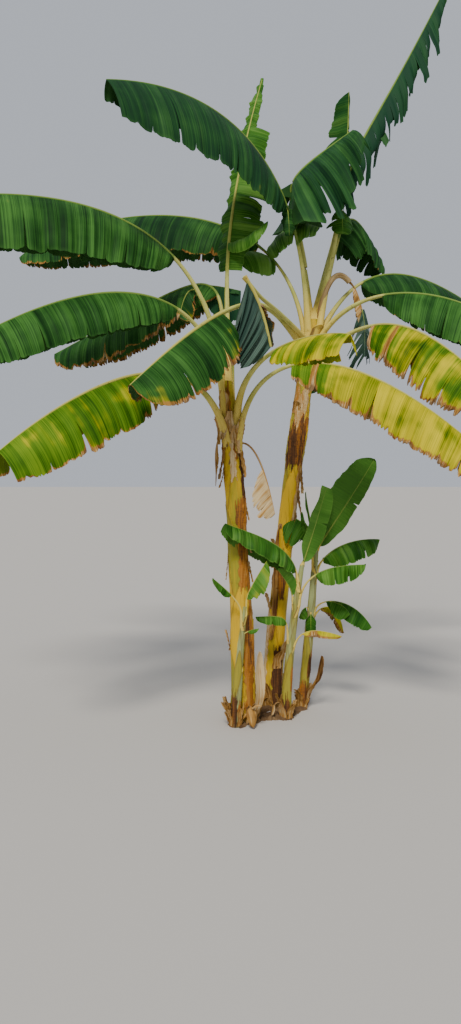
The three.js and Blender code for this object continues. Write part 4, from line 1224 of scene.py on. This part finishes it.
def stalk_finish(name, pale, deep, foot, flecks, rib, ripe_rib):
    """A stalk: streaked, with a warmer foot and dark flecks, and the rib's own colour behind."""
    f = Finish(name, specular=0.15)
    along, round_ = f.veins()
    streak = f.noise(f.together(along * 3, round_ * 160, 0.0), detail=3)
    patch = f.noise(f.place(), scale=7)
    spots = f.noise(f.place(), scale=60, detail=3, roughness=0.7)
    colour = f.ramp(streak * 0.5 + patch * 0.5, (0.36, deep), (0.5, pale), (0.66, deep))
    at_foot = f.blend((0.32 - f.mark("from_foot")).between(0.0, 0.25) * 0.8, colour, foot)
    ripened = f.blend(f.mark("ripe").between(0.1, 0.6), rib, ripe_rib)
    behind = f.blend(f.mark("on_blade") * 0.85, at_foot, ripened)
    hem = (f.mark("hem") + (streak - 0.5) * 0.6).between(0.3, 0.7) * 0.85
    marked = f.blend(spots.between(0.6, 0.72) * 0.6, f.blend(hem, behind, BROWN), flecks)
    f.surface(Base_Color=marked, Roughness=streak * 0.2 + 0.45, Normal=f.bump(streak, 0.35, 0.002))
    return f.material


def dry_finish(name, pale, deep, dark):
    """Dead leaf: matt, with fibres from dark to pale."""
    f = Finish(name, specular=0.08)
    along, across = f.veins()
    fine = f.noise(f.together(along * 120, across * 5, 0.0), detail=4, roughness=0.65)
    broad = f.noise(f.together(along * 26, across * 3, 3.0))
    patch = f.noise(f.place(), scale=9)
    colour = f.ramp(fine * 0.4 + broad * 0.35 + patch * 0.25 + f.mark("leaf_tone") * 0.05,
                    (0.4, dark), (0.49, deep), (0.58, pale))
    f.surface(Base_Color=colour, Roughness=fine * 0.2 + 0.72, Normal=f.bump(fine, 0.8, 0.004))
    return f.material


def sheath_finish(name, gold, olive, shade):
    """A stem: streaked sheaths, olive to gold, and brown, orange or tan where one is dead and in the
    coat that paints shade low on the main stem.
    """
    f = Finish(name, specular=0.22)
    place = f.place()
    streak = f.noise(f.stretched(place, (40, 40, 2.0)), detail=4, roughness=0.6)
    fibre = f.noise(f.stretched(place, (240, 240, 6)), detail=3, roughness=0.65)
    patch = f.noise(f.stretched(place, (10, 10, 2.4)), detail=3, roughness=0.55)
    cracks = f.noise(f.stretched(place, (30, 30, 240)), detail=3, roughness=0.7)
    ripening = f.mark("gold") + (patch - 0.5) * 1.4 + (streak - 0.5) * 0.8
    body = f.blend(ripening.between(0.25, 0.75), olive, gold)
    streaked = f.blend((streak * 0.6 + fibre * 0.4).between(0.5, 0.66) * 0.55, body, shade)
    blotched = f.blend((patch + (fibre - 0.5) * 0.5).between(0.62, 0.74) * 0.7, streaked, BROWN)
    edged = f.blend(f.mark("margin") * 0.6, blotched, BROWN)
    low = (0.06 - f.mark("height") + (patch - 0.5) * 0.1).between(0, 0.05) * 0.7
    dry_tone = (f.mark("coat_tone") + (fibre - 0.5) * 0.9 + (streak - 0.5) * 0.9
                + (cracks - 0.5) * 0.3 + (patch - 0.5) * 0.6)
    dry = f.ramp(dry_tone, (0, DARK_BROWN), (0.3, BROWN), (0.52, ORANGE), (0.76, TAN), (0.95, CREAM))
    coat = f.mark("coat")
    f.surface(
        Base_Color=f.blend(coat, f.blend(low, edged, BROWN), dry),
        Roughness=fibre * 0.25 + 0.42 + coat * 0.25,
        Normal=f.bump(streak * 0.4 + fibre * 0.4 + coat * cracks * 0.5, 0.75, 0.004))
    return f.material


def make_finishes():
    return {
        "green": blade_finish(
            "green blade", (0.003, 0.021, 0.004), (0.015, 0.07, 0.01), (0.06, 0.18, 0.03),
            (0.014, 0.06, 0.034), (0.04, 0.12, 0.03), 0.6, 0.15),
        "young": blade_finish(
            "young blade", (0.008, 0.05, 0.004), (0.035, 0.13, 0.01), (0.13, 0.28, 0.04),
            (0.006, 0.05, 0.015), (0.08, 0.22, 0.03), 0.5, 0.5),
        "yellow": blade_finish(
            "yellowing blade", (0.01, 0.05, 0.001), (0.06, 0.15, 0.003), (0.15, 0.26, 0.01),
            (0.008, 0.05, 0.022), (0.17, 0.23, 0.02), 0.6, 0),
        "withered": blade_finish(
            "withered blade", (0.01, 0.03, 0.02), (0.035, 0.075, 0.05), (0.11, 0.17, 0.13),
            (0.05, 0.09, 0.085), (0.11, 0.17, 0.13), 0.6, 0),
        "dry": dry_finish("dry blade", CREAM, TAN, BROWN),
        "stalk": stalk_finish(
            "pale stalk", (0.6, 0.58, 0.17), (0.3, 0.34, 0.06), (0.72, 0.52, 0.1),
            (0.1, 0.05, 0.015), (0.13, 0.25, 0.035), (0.46, 0.42, 0.09)),
        "dry_stalk": stalk_finish(
            "dry stalk", (0.5, 0.36, 0.17), (0.25, 0.14, 0.05), (0.2, 0.1, 0.03), DARK_BROWN,
            TAN, TAN),
        "sheath": sheath_finish(
            "stem sheath", (0.66, 0.42, 0.012), (0.3, 0.27, 0.02), (0.26, 0.13, 0.012)),
        "sucker": sheath_finish(
            "sucker sheath", (0.33, 0.28, 0.03), (0.33, 0.38, 0.16), (0.14, 0.15, 0.03)),
        "crown": dry_finish("crown fibre", (0.24, 0.16, 0.08), (0.12, 0.07, 0.035), DARK_BROWN),
    }


# The view, the floor and the light

def add_object(name, data, turn, place=(0, 0, 0)):
    holder = bpy.data.objects.new(name, data)
    holder.location = place
    holder.rotation_euler = [math.radians(angle) for angle in turn]
    bpy.context.scene.collection.objects.link(holder)
    return holder


def set_view():
    camera = bpy.data.cameras.new("view")
    camera.sensor_width = SENSOR
    camera.lens = LENS
    camera.clip_end = 100
    bpy.context.scene.camera = add_object("view", camera, (90 - PITCH, 0, 0), EYE)


def lay_floor():
    bpy.ops.object.select_all(action="DESELECT")
    bpy.ops.mesh.primitive_plane_add(size=FLOOR, location=(0, 0, 0))
    floor = bpy.context.object
    floor.name = "studio_floor"
    f = Finish("studio floor", roughness=0.9, specular=0.1)
    f.surface(Base_Color=PALE)
    floor.data.materials.append(f.material)


def light_studio():
    """A pale room, and one wide soft light high in front of the plant."""
    world = bpy.data.worlds.new("studio")
    bpy.context.scene.world = world
    world.use_nodes = True
    background = world.node_tree.nodes["Background"]
    background.inputs["Color"].default_value = SKY
    background.inputs["Strength"].default_value = SKY_STRENGTH
    lamp = bpy.data.lights.new("key", "SUN")
    lamp.energy = SUN_STRENGTH
    lamp.angle = math.radians(SUN_WIDTH)
    lamp.color = SUN_COLOUR
    add_object("key", lamp, (*SUN_TILT, 0))


def main():
    set_view()
    finishes = make_finishes()
    for stem in STEMS.values():
        grow_stem(stem, finishes)
    grow_crown(finishes)
    ribs = {}
    for leaf in LEAVES:
        grow_leaf(leaf, ribs, finishes)
    lay_floor()
    light_studio()


main()
